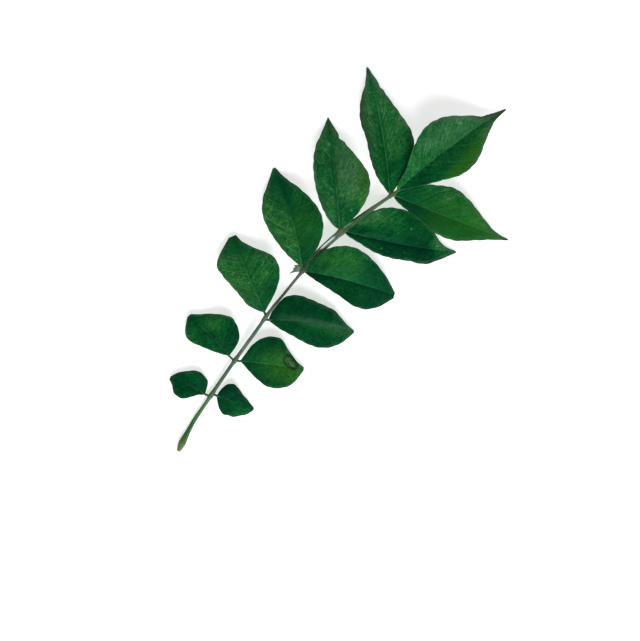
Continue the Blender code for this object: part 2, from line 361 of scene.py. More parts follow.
def draw_tube(centres, radii, sides):
    """Closed tube of upright rings, drawn out of a circle along a line of plan points."""
    points = [placed(*centre) for centre in centres]
    headings = []
    for k in range(len(points)):
        run = points[min(k + 1, len(points) - 1)] - points[max(k - 1, 0)]
        headings.append(math.atan2(run.y, run.x))
    clear_selection()
    facing = Vector((math.cos(headings[0]), math.sin(headings[0]), 0.0))
    bpy.ops.mesh.primitive_circle_add(
        vertices=sides, radius=radii[0] * MM, fill_type="NGON", location=points[0],
        rotation=facing.to_track_quat("Z", "Y").to_euler())
    tube = settle()
    bpy.ops.object.mode_set(mode="EDIT")
    bpy.ops.mesh.select_all(action="SELECT")
    for k in range(1, len(points)):
        step = points[k] - points[k - 1]
        bpy.ops.mesh.extrude_region_move(TRANSFORM_OT_translate={"value": step})
        turn = headings[k - 1] - headings[k]
        bpy.ops.transform.rotate(value=turn, orient_axis="Z", center_override=points[k])
        grow = radii[k] / radii[k - 1]
        bpy.ops.transform.resize(value=(grow, grow, grow), center_override=points[k])
    bpy.ops.mesh.select_all(action="SELECT")
    bpy.ops.mesh.normals_make_consistent(inside=False)
    bpy.ops.object.mode_set(mode="OBJECT")
    return tube


# Mesh of the stem, its ridges with their height and twist in radians per millimetre, and the
# depth and width of the groove of its upper part
STEM_SIDES = 28
STEM_STEP = 0.8
RIDGES = 6
RIDGE = 0.035
TWIST = 0.03
GROOVE = (
    (-0.5, 0.0), (50.0, 0.0), (76.0, 0.18), (84.0, 0.42), (94.0, 0.36), (104.0, 0.2),
    (118.0, 0.1),
)
GROOVE_WIDTH = 0.42
# Height of the stem as a share of its width, its knots, its rounded end, and the sunk face of
# its cut: width of rim and slope, and depth
FLATNESS = ((-0.5, 1.0), (60.0, 1.0), (84.0, 0.78), (98.0, 0.78), (112.0, 1.0))
KNOT = 0.05
KNOT_SIZE = 1.7
END_ROUND = 1.4
END_RADIUS = 0.36
CUT_RIM = 0.12
CUT_SLOPE = 0.16
CUT_DEPTH = 0.15
CUT_DISH = 0.3


def make_stem():
    """Stem from the cut foot to the last node, ridged, knotty and grooved above."""
    start, end = STEM_ROUTE[0][0], STEM_ROUTE[-1][0]
    count = round((end - start) / STEM_STEP)
    places = [start + (end - start) * k / count for k in range(count + 1)]
    centres = [stem_point(x) + Vector((0.0, smooth(x, STEM_SHIFT), 0.0)) for x in places]
    radii = []
    for x in places:
        left = ease((end - x) / END_ROUND)
        radii.append(END_RADIUS + (stem_radius(x) - END_RADIUS) * left)
    stem = draw_tube(centres, radii, STEM_SIDES)
    sides = []
    for k, vertex in enumerate(stem.data.vertices):
        ring = k // STEM_SIDES
        x = places[ring]
        middle = placed(*centres[ring])
        out = vertex.co - middle
        angle = math.atan2(out.z, math.copysign(math.hypot(out.x, out.y), out.y))
        ridge = RIDGE * math.cos(RIDGES * (angle + TWIST * x))
        groove = smooth(x, GROOVE) * bell(angle - math.pi / 2, GROOVE_WIDTH)
        knots = KNOT * noise.noise(vertex.co / (KNOT_SIZE * MM))
        out *= 1 + (ridge - groove + knots) / radii[ring]
        out.z *= smooth(x, FLATNESS)
        vertex.co = middle + out
        vertex.co.z = max(vertex.co.z, 0.0)
        sides.append(math.cos(angle))
    attribute = stem.data.attributes.new("side", "FLOAT", "POINT")
    attribute.data.foreach_set("value", sides)
    dish_end(stem)
    bpy.ops.object.shade_smooth_by_angle(angle=STEM_SHARP)
    stem.data.materials.append(bark_material("stem_skin", STEM_BANDS, STEM_STRIPES))
    return keep(stem, "stem")


def dish_end(stem):
    """Sinks the cut face of the foot a little inside its rim."""
    faces = [f for f in stem.data.polygons if len(f.vertices) == STEM_SIDES]
    cut = min(faces, key=lambda f: f.center.x)
    for f in stem.data.polygons:
        f.select = f.index == cut.index
    inwards = -cut.normal * CUT_DEPTH * MM
    bpy.ops.object.mode_set(mode="EDIT")
    bpy.ops.mesh.select_mode(type="FACE")
    bpy.ops.mesh.inset(thickness=CUT_RIM * MM)
    bpy.ops.transform.translate(value=inwards)
    bpy.ops.mesh.inset(thickness=CUT_SLOPE * MM)
    bpy.ops.transform.translate(value=inwards * CUT_DISH)
    bpy.ops.object.mode_set(mode="OBJECT")


# Leaflet stalks: mesh, start inside the stem, and the swellings at the foot and at the blade:
# their height, the place of the lower one, and the widths of both
STALK_SIDES = 14
STALK_STEP = 0.7
STALK_START = -0.2
STALK_SWELL = 0.12
SWELL_PLACE = 0.8
SWELL_FOOT = 0.5
SWELL_TOP = 0.7
# A stalk goes on under its blade as the ridge of the midrib: how soon and how thick, where it
# ends, how deep it lies and how thin it gets
RIB_START = 2.5
RIB_SHARE = 0.85
RIB_END = 0.93
RIB_SINK = 0.1
RIB_DEPTH = 0.6
LEAST_RIB = 0.05


def make_stalk(name, leaf, radius):
    """Stalk of a leaflet from inside the stem, and the tapering ridge under its midrib."""
    reach = leaf.stalk + leaf.length * RIB_END
    count = round((reach - STALK_START) / STALK_STEP)
    centres, radii = [], []
    for k in range(count + 1):
        run = STALK_START + (reach - STALK_START) * k / count
        past = run - leaf.stalk
        u = max(past, 0.0) / leaf.length
        bow, z = midrib(leaf, u)
        under = ease(past / RIB_START)
        swell = bell(run - SWELL_PLACE, SWELL_FOOT) + bell(past, SWELL_TOP)
        size = radius * (1 - under * (1 - RIB_SHARE * (1 - u)))
        size = max(size + STALK_SWELL * swell * (1 - under), LEAST_RIB)
        z -= under * (RIB_SINK + RIB_DEPTH * size)
        x, y = leaflet_point(leaf, run, bow)
        centres.append((x, y, max(z, size / 2)))
        radii.append(size)
    stalk = draw_tube(centres, radii, STALK_SIDES)
    for vertex in stalk.data.vertices:
        vertex.co.z = max(vertex.co.z, 0.0)
    bpy.ops.object.shade_smooth()
    stalk.data.materials.append(bark_material("stalk_skin", STALK_BANDS))
    return keep(stalk, "stalk_" + name)


# Withered bud left of the fourth node: the middles of its scales with their radii, its sides,
# and its height as a share of its width
BUD_SCALES = (
    (((75.1, 12.7, 6.3), (74.4, 13.5, 6.5), (73.4, 14.2, 6.4), (72.4, 14.6, 6.0),
      (71.3, 14.9, 5.6)),
     (0.4, 0.7, 0.6, 0.3, 0.07)),
    (((75.3, 12.9, 6.3), (74.8, 13.8, 6.6), (74.1, 14.6, 6.5), (73.2, 15.2, 6.1)),
     (0.4, 0.7, 0.6, 0.14)),
    (((75.7, 13.0, 6.3), (75.4, 14.0, 6.7), (75.0, 14.9, 6.6), (74.4, 15.7, 6.3)),
     (0.4, 0.65, 0.5, 0.12)),
)
BUD_SIDES = 10
BUD_FLAT = 0.55


def make_bud():
    """Withered bud at the fourth node: three flat dry scales that spread to the left."""
    scales = []
    for centres, radii in BUD_SCALES:
        scale = draw_tube(centres, radii, BUD_SIDES)
        for k, vertex in enumerate(scale.data.vertices):
            middle = placed(*centres[k // BUD_SIDES])
            vertex.co.z = middle.z + (vertex.co.z - middle.z) * BUD_FLAT
        scales.append(scale)
    clear_selection()
    for scale in scales:
        scale.select_set(True)
    bpy.context.view_layer.objects.active = scales[0]
    bpy.ops.object.join()
    bud = bpy.context.object
    bpy.ops.object.shade_smooth_by_angle(angle=STEM_SHARP)
    bud.data.materials.append(bark_material("bud_skin", BUD_BANDS))
    return keep(bud, "bud")


def outer_end(share):
    """Place along the margin, from 0 to 1, of the row at this share of all rows."""
    return share ** ROW_GATHER


def inner_end(share):
    """Place along the midrib of that row, which the sweep of the veins sets back."""
    m = outer_end(share)
    return m - SWEEP * m * (1 - m ** SWEEP_POWER)


def vein_rows(leaf, draw, inner_ends):
    """Rows of the mesh that carry a side vein, with each one's strength, for both halves."""
    rows = {"left": {}, "right": {}}
    for side, shift in (("left", 0.0), ("right", 0.5)):
        count = max(3, round(leaf.length / VEIN_SPACING))
        for k in range(2 * count):
            share = (k + 1 + shift) / 2 / (count + 1)
            if not VEIN_RANGE[0] < share < VEIN_RANGE[1]:
                continue
            strong = k % 2 == 1
            scatter = draw.uniform(-VEIN_SCATTER, VEIN_SCATTER) / (count + 1)
            share += scatter if strong else scatter / WEAK_SCATTER
            row = min(range(len(inner_ends)), key=lambda r: abs(inner_ends[r] - share))
            rows[side][row] = draw.uniform(*(STRONG_VEIN if strong else WEAK_VEIN))
    return rows


def tooth_reach(leaf, m, phase, drawn):
    """How far the teeth carry the margin outwards at m of its length, uneven as drawn."""
    size = coarseness(leaf) * min(1.0, TOOTH_FADE * m * (1 - m))
    size *= 1 + TOOTH_UNEVEN * noise.noise(drawn)
    return (TOOTH_OUT - (TOOTH_OUT + TOOTH_IN) * (1 - abs(math.cos(math.pi * phase)))) * size


def vein_relief(veins, row, t, pitch, shape):
    """Distance to the nearest side vein, more for a faint one, and the height that they leave."""
    near, relief = NO_VEIN, 0.0
    for vein_row, strength in veins.items():
        distance = abs(row - vein_row) * pitch
        if distance < VEIN_REACH:
            fade = strength * (1 - ease((t - FADE_START) / FADE_OVER) * FADE_BY)
            near = min(near, distance / max(fade, LEAST_FADE))
            relief -= shape.vein_depth / MM * fade * bell(distance, GROOVE_HALF)
            relief -= shape.quilting / MM * fade * bell(distance, DIP_HALF)
    return near, relief


def make_blade(name, leaf, shape):
    """Blade of a leaflet, a grid whose rows run along its side veins, then given its thickness."""
    draw = random.Random(list(LEAFLETS).index(name) + BLADE_SEED)
    rows = round(leaf.length / CELL_ALONG)
    columns = max(LEAST_COLUMNS, round(max(leaf.left + leaf.right) / CELL_ACROSS))
    veins = vein_rows(leaf, draw, [inner_end(row / rows) for row in range(rows + 1)])
    clear_selection()
    mid_x, mid_y = leaflet_point(leaf, leaf.stalk + leaf.length / 2, 0.0)
    mid = placed(mid_x, mid_y, midrib(leaf, 0.5)[1])
    side_length = leaf.length * MM
    bpy.ops.mesh.primitive_grid_add(
        x_subdivisions=2 * columns, y_subdivisions=rows, size=side_length, location=mid)
    blade = settle()
    swell_from = Vector((draw.uniform(0, SWELL_RANGE), draw.uniform(0, SWELL_RANGE), 0.0))
    teeth = max(10, 2 * round(leaf.length / TOOTH_ROW / 2)) / 2

    marks = []
    for vertex in blade.data.vertices:
        across = -2 * (vertex.co.x - mid.x) / side_length
        row = round(((vertex.co.y - mid.y) / side_length + 0.5) * rows)
        side, sign = ("left", 1) if across > 0 else ("right", -1)
        t = abs(across)
        t -= GATHER / (2 * math.pi) * math.sin(2 * math.pi * t)
        m, q = outer_end(row / rows), inner_end(row / rows)
        bend = VEIN_BEND * min(1.0, m / BEND_FULL)
        u = q + (m - q) * ((1 - bend) * t + bend * t * t)

        # Place in the plan: the margin's teeth move the outer end of the row
        phase = teeth * m ** (1 / BASE_EASE)
        drawn = Vector((round(phase) * TOOTH_STRIDE, columns, SIDE_STRIDE * sign))
        tooth = tooth_reach(leaf, m, phase, drawn)
        end = max(half_width(name, side, m) + tooth * shape.teeth, BASE_HALF_WIDTH / 2)
        start = leaf.bow * 4 * q * (1 - q)
        d = start * (1 - t) + sign * end * t
        x, y = leaflet_point(leaf, leaf.stalk + leaf.length * u, d)

        # Height: the bent blade, with the relief of the veins and an uneven lie
        bow = leaf.bow * 4 * u * (1 - u)
        margin = max(half_width(name, side, u), BASE_HALF_WIDTH / 2) - sign * bow
        s = min(max(sign * (d - bow) / margin, 0.0), 1.0)
        width = end - sign * start
        from_rib, from_edge = t * width, (1 - t) * width
        ends = [inner_end(min(max(r, 0), rows) / rows) for r in (row - 1, row + 1)]
        pitch = leaf.length * (ends[1] - ends[0]) / 2
        pitch = (pitch * (1 - t) + leaf.length / rows * t) * PITCH_SHARE
        near, relief = vein_relief(veins[side], row, t, max(pitch, LEAST_PITCH), shape)
        loop = abs(t - LOOP_AT + LOOP_DIP * math.cos(math.pi * phase)) * width
        place = Vector((x, y, 0.0)) + swell_from
        uneven = sum(share * noise.noise(place / length) for length, share in SWELLS)
        calm = min(1.0, from_rib / CALM_WIDTH)
        relief *= calm
        lively = (CALM_SHARE + (1 - CALM_SHARE) * calm) * ease(u / CALM_BASE)
        relief += shape.swells / MM * uneven * lively
        relief -= shape.rib_depth / MM * bell(from_rib, CHANNEL_HALF) * (1 - CHANNEL_FADE * u)
        z = blade_height(name, side, u, s, margin) + relief
        vertex.co = placed(x, y, max(z, shape.thickness / MM / 2))

        body = THICK_MARGIN + (THICK_BLADE - THICK_MARGIN) * ease(from_edge / MARGIN_WIDTH)
        marks.append({
            "blade": (leaf.length * u / MAP_SIDE, 0.5 + d / MAP_SIDE),
            "veins": (leaf.length * q / MAP_SIDE, 0.5 + sign * t / 2),
            "rib": from_rib, "edge": from_edge, "vein": min(near, LOOP_SLOPE * loop + LOOP_FAINT),
            "thick": body + (THICK_RIB - body) * bell(from_rib, RIB_HALF) * (1 - RIB_FADE * u)})
    finish_blade(blade, name, marks, shape.thickness)
    return keep(blade, "leaflet_" + name)


def make_blades(start):
    """Blades of the leaflets whose names start so."""
    for name, leaf in LEAFLETS.items():
        if name.startswith(start):
            make_blade(name, leaf, bpy.context.scene.sprig_shape)


def finish_blade(blade, name, marks, thickness):
    """Gives a flat blade its maps, its distances from veins and margin, and its thickness."""
    mesh = blade.data
    write_map(mesh, mesh.uv_layers[0], "blade", [mark["blade"] for mark in marks])
    write_map(mesh, mesh.uv_layers.new(), "veins", [mark["veins"] for mark in marks])
    for label in ("rib", "edge", "vein"):
        attribute = mesh.attributes.new(label, "FLOAT", "POINT")
        attribute.data.foreach_set("value", [mark[label] for mark in marks])
    group = blade.vertex_groups.new(name="thick")
    for k, mark in enumerate(marks):
        group.add([k], mark["thick"], "REPLACE")
    mesh.materials.append(leaf_material(name))
    mesh.materials.append(underside_material())
    wall = blade.modifiers.new("wall", "SOLIDIFY")
    wall.thickness = thickness
    wall.offset = 0.0
    wall.vertex_group = group.name
    wall.material_offset = 1
    bpy.ops.object.modifier_apply(modifier=wall.name)
    blade.vertex_groups.clear()
    for vertex in mesh.vertices:
        vertex.co.z = max(vertex.co.z, 0.0)
    bpy.ops.object.shade_smooth_by_angle(angle=BLADE_SHARP)


def write_map(mesh, layer, name, places):
    """Fills a UV map with a place for each vertex."""
    layer.name = name
    layer = mesh.uv_layers[name]
    values = []
    for loop in mesh.loops:
        values.extend(places[loop.vertex_index])
    layer.uv.foreach_set("vector", values)


class Wiring:
    """Adds nodes to a tree, their inputs given as values or as sockets to link."""

    def __init__(self, tree):
        self.tree = tree

    def node(self, kind, inputs=None, **settings):
        """New node of this kind, with settings and inputs."""
        made = self.tree.nodes.new(kind)
        count = len(self.tree.nodes)
        made.location = (190 * (count % 12), -260 * (count // 12))
        for key, value in settings.items():
            setattr(made, key, value)
        self.fill(made, inputs or {})
        return made

    def fill(self, node, inputs):
        """Links or sets inputs of a node."""
        for key, value in inputs.items():
            if isinstance(value, bpy.types.NodeSocket):
                self.tree.links.new(value, node.inputs[key])
            else:
                node.inputs[key].default_value = value

    def math(self, operation, a, b=0.0):
        """Outcome of an operation on numbers."""
        return self.node("ShaderNodeMath", {0: a, 1: b}, operation=operation).outputs[0]

    def plus(self, a, b):
        """Sum of two numbers."""
        return self.math("ADD", a, b)

    def minus(self, a, b):
        """Difference of two numbers."""
        return self.math("SUBTRACT", a, b)

    def times(self, a, b):
        """Product of two numbers."""
        return self.math("MULTIPLY", a, b)

    def vector_math(self, operation, a, b):
        """Outcome of an operation on vectors, or on a vector and the number that scales it."""
        second = 3 if operation == "SCALE" else 1
        made = self.node("ShaderNodeVectorMath", {0: a, second: b}, operation=operation)
        return made.outputs[0]

    def mix(self, factor, a, b):
        """Colour between two, each a socket or its red, green and blue."""
        a, b = (c if isinstance(c, bpy.types.NodeSocket) else (*c, 1) for c in (a, b))
        return self.node("ShaderNodeMix", {0: factor, 6: a, 7: b}, data_type="RGBA").outputs[2]

    def ramp(self, share, stops):
        """Colour at a share of the way along stops, pairs of a place and a colour from 0 to 1."""
        made = self.node("ShaderNodeValToRGB", {0: share})
        elements = made.color_ramp.elements
        for place, colour in stops:
            end = {0.0: 0, 1.0: len(elements) - 1}.get(place)
            stop = elements.new(place) if end is None else elements[end]
            stop.color = (*colour, 1)
        return made.outputs[0]

    def span(self, value, low, high, to_low=0.0, to_high=1.0):
        """Value taken smoothly from one range to another."""
        values = {"Value": value, "From Min": low, "From Max": high, "To Min": to_low,
                  "To Max": to_high}
        made = self.node("ShaderNodeMapRange", values, interpolation_type="SMOOTHSTEP")
        return made.outputs[0]

    def noise(self, vector, size, detail=2.0, rough=0.5):
        """Noise with swells of about this size."""
        values = {"Vector": vector, "Scale": 1 / size, "Detail": detail, "Roughness": rough}
        return self.node("ShaderNodeTexNoise", values).outputs["Fac"]

    def net(self, vector, size, line):
        """Lines of a net with meshes of this size, from their middle to a line's edge."""
        cells = self.node("ShaderNodeTexVoronoi", {"Vector": vector, "Scale": 1 / size},
                          feature="DISTANCE_TO_EDGE")
        return self.span(cells.outputs["Distance"], *line, 1.0, 0.0)

    def bump(self, strength, distance, height):
        """Normal of a surface with this relief."""
        values = {"Strength": strength, "Distance": distance, "Height": height}
        return self.node("ShaderNodeBump", values).outputs[0]

    def attribute(self, name):
        """Value of an attribute of the piece."""
        return self.node("ShaderNodeAttribute", attribute_name=name).outputs["Fac"]

    def uv(self, name):
        """Place on a map of the piece."""
        return self.node("ShaderNodeUVMap", uv_map=name).outputs[0]

    def here(self):
        """Place on the piece, in metres."""
        return self.node("ShaderNodeTexCoord").outputs["Object"]

    def effect(self, name, build, inputs):
        """Outputs of the group of this name, which is built when it is first asked for."""
        tree = bpy.data.node_groups.get(name) or build(name)
        return self.node("ShaderNodeGroup", inputs, node_tree=tree).outputs

    def dots(self, vector, spacing, radius, cover):
        """Mask of strewn dots."""
        return self.effect("Sprig dots", dots_group, {
            "Vector": vector, "Spacing": spacing, "Radius": radius, "Cover": cover})["Mask"]

    def line(self, vector, distance, width, gaps):
        """Mask of an uneven line."""
        return self.effect("Sprig line", line_group, {
            "Vector": vector, "Distance": distance, "Width": width, "Break": gaps})["Mask"]


def new_group(name, inputs, outputs):
    """Empty node group with these sockets, as its wiring, its inputs and its end node."""
    tree = bpy.data.node_groups.new(name, "ShaderNodeTree")
    kinds = {"vector": "NodeSocketVector", "value": "NodeSocketFloat", "colour": "NodeSocketColor"}
    for label, kind, default in inputs:
        socket = tree.interface.new_socket(name=label, in_out="INPUT", socket_type=kinds[kind])
        if default is not None:
            socket.default_value = default
    for label, kind in outputs:
        tree.interface.new_socket(name=label, in_out="OUTPUT", socket_type=kinds[kind])
    w = Wiring(tree)
    start = w.node("NodeGroupInput")
    return w, start.outputs, w.node("NodeGroupOutput")


def new_material(name):
    """New material, with its wiring and its shader."""
    material = bpy.data.materials.new(name)
    material.use_nodes = True
    tree = material.node_tree
    return material, Wiring(tree), tree.nodes["Principled BSDF"]


# Range that noise mostly fills
NOISE_SPAN = (0.3, 0.7)
# Dots: the smallest one's share of the radius, and the share of a dot that is full
SMALL_DOT = 0.55
DOT_CORE = 0.55
# Lines: the share of the width that is full, the sizes of the patterns that widen and break them,
# the least and most that they are widened, and where the second pattern breaks them
LINE_CORE = 0.35
LINE_SWELL = 4.0 * MM
LINE_WIDTHS = (0.6, 1.3)
LINE_GAP = 2.2 * MM
GAP_SPAN = (0.35, 0.6)
# Patches: size of the pattern that frays their outline
FRAY = 1.6 * MM


def dots_group(name):
    """Round dots of several sizes strewn over a surface, one in a share of its cells."""
    w, given, end = new_group(
        name,
        [("Vector", "vector", None), ("Spacing", "value", 0.0009), ("Radius", "value", 0.25),
         ("Cover", "value", 0.5)],
        [("Mask", "value")])
    scale = w.math("DIVIDE", 1.0, given["Spacing"])
    cells = w.node("ShaderNodeTexVoronoi", {"Vector": given["Vector"], "Scale": scale})
    red = w.node("ShaderNodeSeparateColor", {0: cells.outputs["Color"]}).outputs[0]
    chosen = w.math("LESS_THAN", red, given["Cover"])
    size = w.times(given["Radius"], w.span(red, 0.0, given["Cover"], SMALL_DOT, 1.0))
    inside = w.span(cells.outputs["Distance"], w.times(size, DOT_CORE), size, 1.0, 0.0)
    w.fill(end, {"Mask": w.times(inside, chosen)})
    return w.tree


def line_group(name):
    """Line of a given width, uneven and broken in places, from a distance in millimetres."""
    w, given, end = new_group(
        name,
        [("Distance", "value", 0.0), ("Width", "value", 0.2), ("Vector", "vector", None),
         ("Break", "value", 0.3)],
        [("Mask", "value")])
    slow = w.noise(given["Vector"], LINE_SWELL, 2.0)
    width = w.times(given["Width"], w.span(slow, *NOISE_SPAN, *LINE_WIDTHS))
    line = w.span(given["Distance"], w.times(width, LINE_CORE), width, 1.0, 0.0)
    gaps = w.span(w.noise(given["Vector"], LINE_GAP, 1.0), *GAP_SPAN, 1.0, 0.0)
    whole = w.minus(1.0, w.times(gaps, given["Break"]))
    w.fill(end, {"Mask": w.times(line, whole)})
    return w.tree


def patch_group(name):
    """Soft patch on a blade's map: an ellipse round a centre, its outline ragged."""
    w, given, end = new_group(
        name,
        [("Map", "vector", None), ("Centre", "vector", (0, 0, 0)), ("Reach", "vector", (1, 1, 1)),
         ("Turn", "value", 0.0), ("Soft", "value", 0.5), ("Ragged", "value", 0.3),
         ("Vector", "vector", None)],
        [("Mask", "value")])
    away = w.vector_math("SUBTRACT", given["Map"], given["Centre"])
    turned = w.node("ShaderNodeVectorRotate", {"Vector": away, "Angle": given["Turn"]},
                    rotation_type="Z_AXIS").outputs[0]
    share = w.vector_math("DIVIDE", turned, given["Reach"])
    far = w.node("ShaderNodeVectorMath", {0: share}, operation="LENGTH").outputs["Value"]
    rough = w.minus(w.noise(given["Vector"], FRAY, 4.0, 0.6), 0.5)
    far = w.plus(far, w.times(rough, w.times(given["Ragged"], 2.0)))
    low, high = w.minus(1.0, given["Soft"]), w.plus(1.0, given["Soft"])
    w.fill(end, {"Mask": w.span(far, low, high, 1.0, 0.0)})
    return w.tree


# Patterns of a leaflet's skin: their sizes, streaks to the length and width of the map of the
# veins, and strengths in its tone
CLOUD_SIZE = 4.2 * MM
WRINKLE_SIZE = 1.3 * MM
GRAIN_SIZE = 0.5 * MM
STREAKS = (75.0, 6.0, 1.0)
CLOUDS_SHOW = 0.4
WRINKLES_SHOW = 0.7
GRAIN_SHOWS = 1.25
STREAKS_SHOW = 1.1
LINES_SHOW = 0.62
DOTS_SHOW = 0.75
# Veinlets: size of their meshes, how far these wander, their width as a share of a mesh, and the
# range of the clouds over which they come out, with how much shows at its ends
MESH_SIZE = 1.6 * MM
MESH_WANDER = 0.9 * MM
VEINLET = (0.03, 0.12)
VEINLETS_SEEN = (0.35, 0.65, 0.1, 0.7)
# Widths and gaps of side veins, midrib and rim, in millimetres and as shares
SIDE_VEIN_LINE = (0.27, 0.45)
MIDRIB_LINE = (0.34, 0.3)
RIM_LINE = (0.95, 0.5)
# Spacing of gland dots, their least radius and what a full strength adds, and their cover; then
# spacing, radius, cover and strength of the pale specks
GLANDS = 1.15 * MM
GLAND_RADIUS = (0.19, 0.16)
GLAND_COVER = 0.55
SPECKS = (3.6 * MM, 0.10, 0.22)
SPECKS_SHOW = 0.4
# Tones at which a leaflet shows its dark, middle, light and pale greens
TONES = (0.0, 0.4, 0.8, 1.0)
# Where the halves meet on the map of the veins, how far the painted shade beside the midrib
# reaches, how early the midrib's line fades, and how the flecks of yellow follow the streaks and
# show
HALVES = (0.46, 0.54)
RIB_SHADE = (0.3, 1.5)
MIDRIB_FADE = 0.7
FLECK_STREAKS = 0.7
FLECK_SPAN = (0.36, 0.62, 0.5, 1.0)
# Tone above which marks show in full, and their share in the darkest skin
FULL_MARKS = 0.7
DARK_MARKS = 0.35
# Roughness of the skin, what wrinkles and what dots and veinlets add, and the relief of each
GLOSS = 0.3
WRINKLES_DULL = 0.14
DOTS_DULL = 0.06
VEINLETS_RISE = -0.6
DOTS_RISE = -0.5
GRAIN_RISES = 0.5
WRINKLES_RISE = 1.0
STREAKS_RISE = 1.2


def skin_group(name):
    """Upper skin of a leaflet: streaked and mottled green with veins, gland dots and a thin rim."""
    colours = bpy.context.scene.sprig_colours
    w, given, end = new_group(
        name,
        [("Left tone", "value", 0.5), ("Right tone", "value", 0.5), ("Shift", "value", 0.0),
         ("Yellow", "value", 0.0), ("Dots", "value", 0.5), ("Rim", "value", 0.7),
         ("Veins", "value", 0.4), ("Rib", "value", 0.5), ("Rib reach", "value", 0.5),
         ("Flank", "value", 0.2)],
        [("Colour", "colour"), ("Roughness", "value"), ("Height", "value")])
    here = w.here()
    veins_map = w.uv("veins")
    along, across, _ = w.node("ShaderNodeSeparateXYZ", {0: veins_map}).outputs
    rib = w.attribute("rib")

    # Tone: each half its own, which holds painted light and shade for the way that half faces the
    # light besides the leaflet's own tone, and painted shade beside the midrib
    half = w.span(across, *HALVES)
    left = w.times(half, given["Left tone"])
    right = w.times(w.minus(1.0, half), given["Right tone"])
    tone = w.plus(w.plus(left, right), given["Shift"])
    # Painted shade along both sides of the midrib
    flank = w.span(rib, *RIB_SHADE, 1.0, 0.0)
    tone = w.minus(tone, w.times(flank, given["Flank"]))

    # Marks in it: clouds, wrinkles, grain, and streaks along the side veins
    cloud = w.noise(here, CLOUD_SIZE, 3.0, 0.6)
    wrinkle = w.noise(here, WRINKLE_SIZE, 3.0, 0.6)
    grain = w.noise(here, GRAIN_SIZE, 2.0, 0.6)
    streak_map = w.node("ShaderNodeMapping", {"Vector": veins_map, "Scale": STREAKS}).outputs[0]
    streaks = w.noise(streak_map, 1.0, 3.0, 0.6)
    marks = 0.0
    for pattern, strength in ((cloud, CLOUDS_SHOW), (wrinkle, WRINKLES_SHOW),
                              (grain, GRAIN_SHOWS), (streaks, STREAKS_SHOW)):
        marks = w.plus(marks, w.times(w.minus(pattern, 0.5), strength))

    # Side veins with a net of veinlets between them, and gland dots
    wander = w.node("ShaderNodeTexNoise", {"Vector": here, "Scale": 1 / MESH_SIZE, "Detail": 1.0})
    away = w.vector_math("SCALE", wander.outputs["Color"], MESH_WANDER)
    veinlets = w.net(w.vector_math("ADD", here, away), MESH_SIZE, VEINLET)
    seen = w.times(veinlets, w.span(cloud, *VEINLETS_SEEN))
    side_veins = w.line(here, w.attribute("vein"), *SIDE_VEIN_LINE)
    lines = w.times(w.math("MAXIMUM", seen, side_veins), given["Veins"])
    marks = w.plus(marks, w.times(lines, LINES_SHOW))
    radius = w.plus(GLAND_RADIUS[0], w.times(given["Dots"], GLAND_RADIUS[1]))
    dots = w.dots(here, GLANDS, radius, GLAND_COVER)
    marks = w.minus(marks, w.times(w.times(dots, given["Dots"]), DOTS_SHOW))

    # Colour: marks are fainter where the skin is dark, and yellow comes in flecks
    tone = w.plus(tone, w.times(marks, w.span(tone, 0.0, FULL_MARKS, DARK_MARKS, 1.0)))
    shades = (colours.leaf_dark, colours.leaf_middle, colours.leaf_light, colours.leaf_pale)
    colour = w.ramp(tone, zip(TONES, shades))
    flecks = w.plus(wrinkle, w.times(w.minus(streaks, 0.5), FLECK_STREAKS))
    flecks = w.span(flecks, *FLECK_SPAN)
    colour = w.mix(w.times(given["Yellow"], flecks), colour, colours.leaf_yellow)
    fade = w.times(given["Rib reach"], MIDRIB_FADE)
    reach = w.span(along, fade, given["Rib reach"], 1.0, 0.0)
    rib_line = w.times(w.line(here, rib, *MIDRIB_LINE), w.times(reach, given["Rib"]))
    colour = w.mix(rib_line, colour, colours.rib)
    colour = w.mix(w.times(w.dots(here, *SPECKS), SPECKS_SHOW), colour, colours.speck)
    rim = w.line(here, w.attribute("edge"), *RIM_LINE)
    colour = w.mix(w.times(rim, given["Rim"]), colour, colours.rim)

    rough = w.plus(GLOSS, w.times(wrinkle, WRINKLES_DULL))
    rough = w.plus(rough, w.times(w.plus(dots, veinlets), DOTS_DULL))
    height = 0.0
    for pattern, strength in ((veinlets, VEINLETS_RISE), (dots, DOTS_RISE), (grain, GRAIN_RISES),
                              (wrinkle, WRINKLES_RISE), (streaks, STREAKS_RISE)):
        height = w.plus(height, w.times(pattern, strength))
    w.fill(end, {"Colour": colour, "Roughness": rough, "Height": height})
    return w.tree


# What a patch on a leaflet paints, besides painted light and shade, which change the tone, and
# yellow; the pale greyish green patch paints a sheen
PAINTS = {
    "brown": "dry", "cool": "leaf_cool", "grey": "leaf_grey", "painted_sheen": "leaf_painted_sheen",
    "dull": "leaf_dull", "fresh": "leaf_fresh", "speck": "speck", "ring": "scar_rim",
    "scar": "scar",
}
# Finish of each leaflet: tones of its left and right halves from dark to light, which hold painted
# light and shade for the way each half faces the light together with the leaflet's own tone,
# strength of the midrib's line, how far along it reaches, and the painted shade beside it,
# strengths of dots, of the rim and of the veins, and its patches. A patch: what it paints, its
# place along and across the blade in millimetres, its reach along and across, its strength, and
# where it isn't a usual one its softness, raggedness and turn in degrees. One that paints a margin
# shows only there. A patch of light paints light where its strength is above nought and shade
# where it is below, together with changes of the leaflet's own tone
Finish = namedtuple("Finish", "left right rib reach flank dots rim veins patches")
Patch = namedtuple(
    "Patch", "paint along across length width strength soft ragged turn",
    defaults=(0.7, 0.3, 0.0))

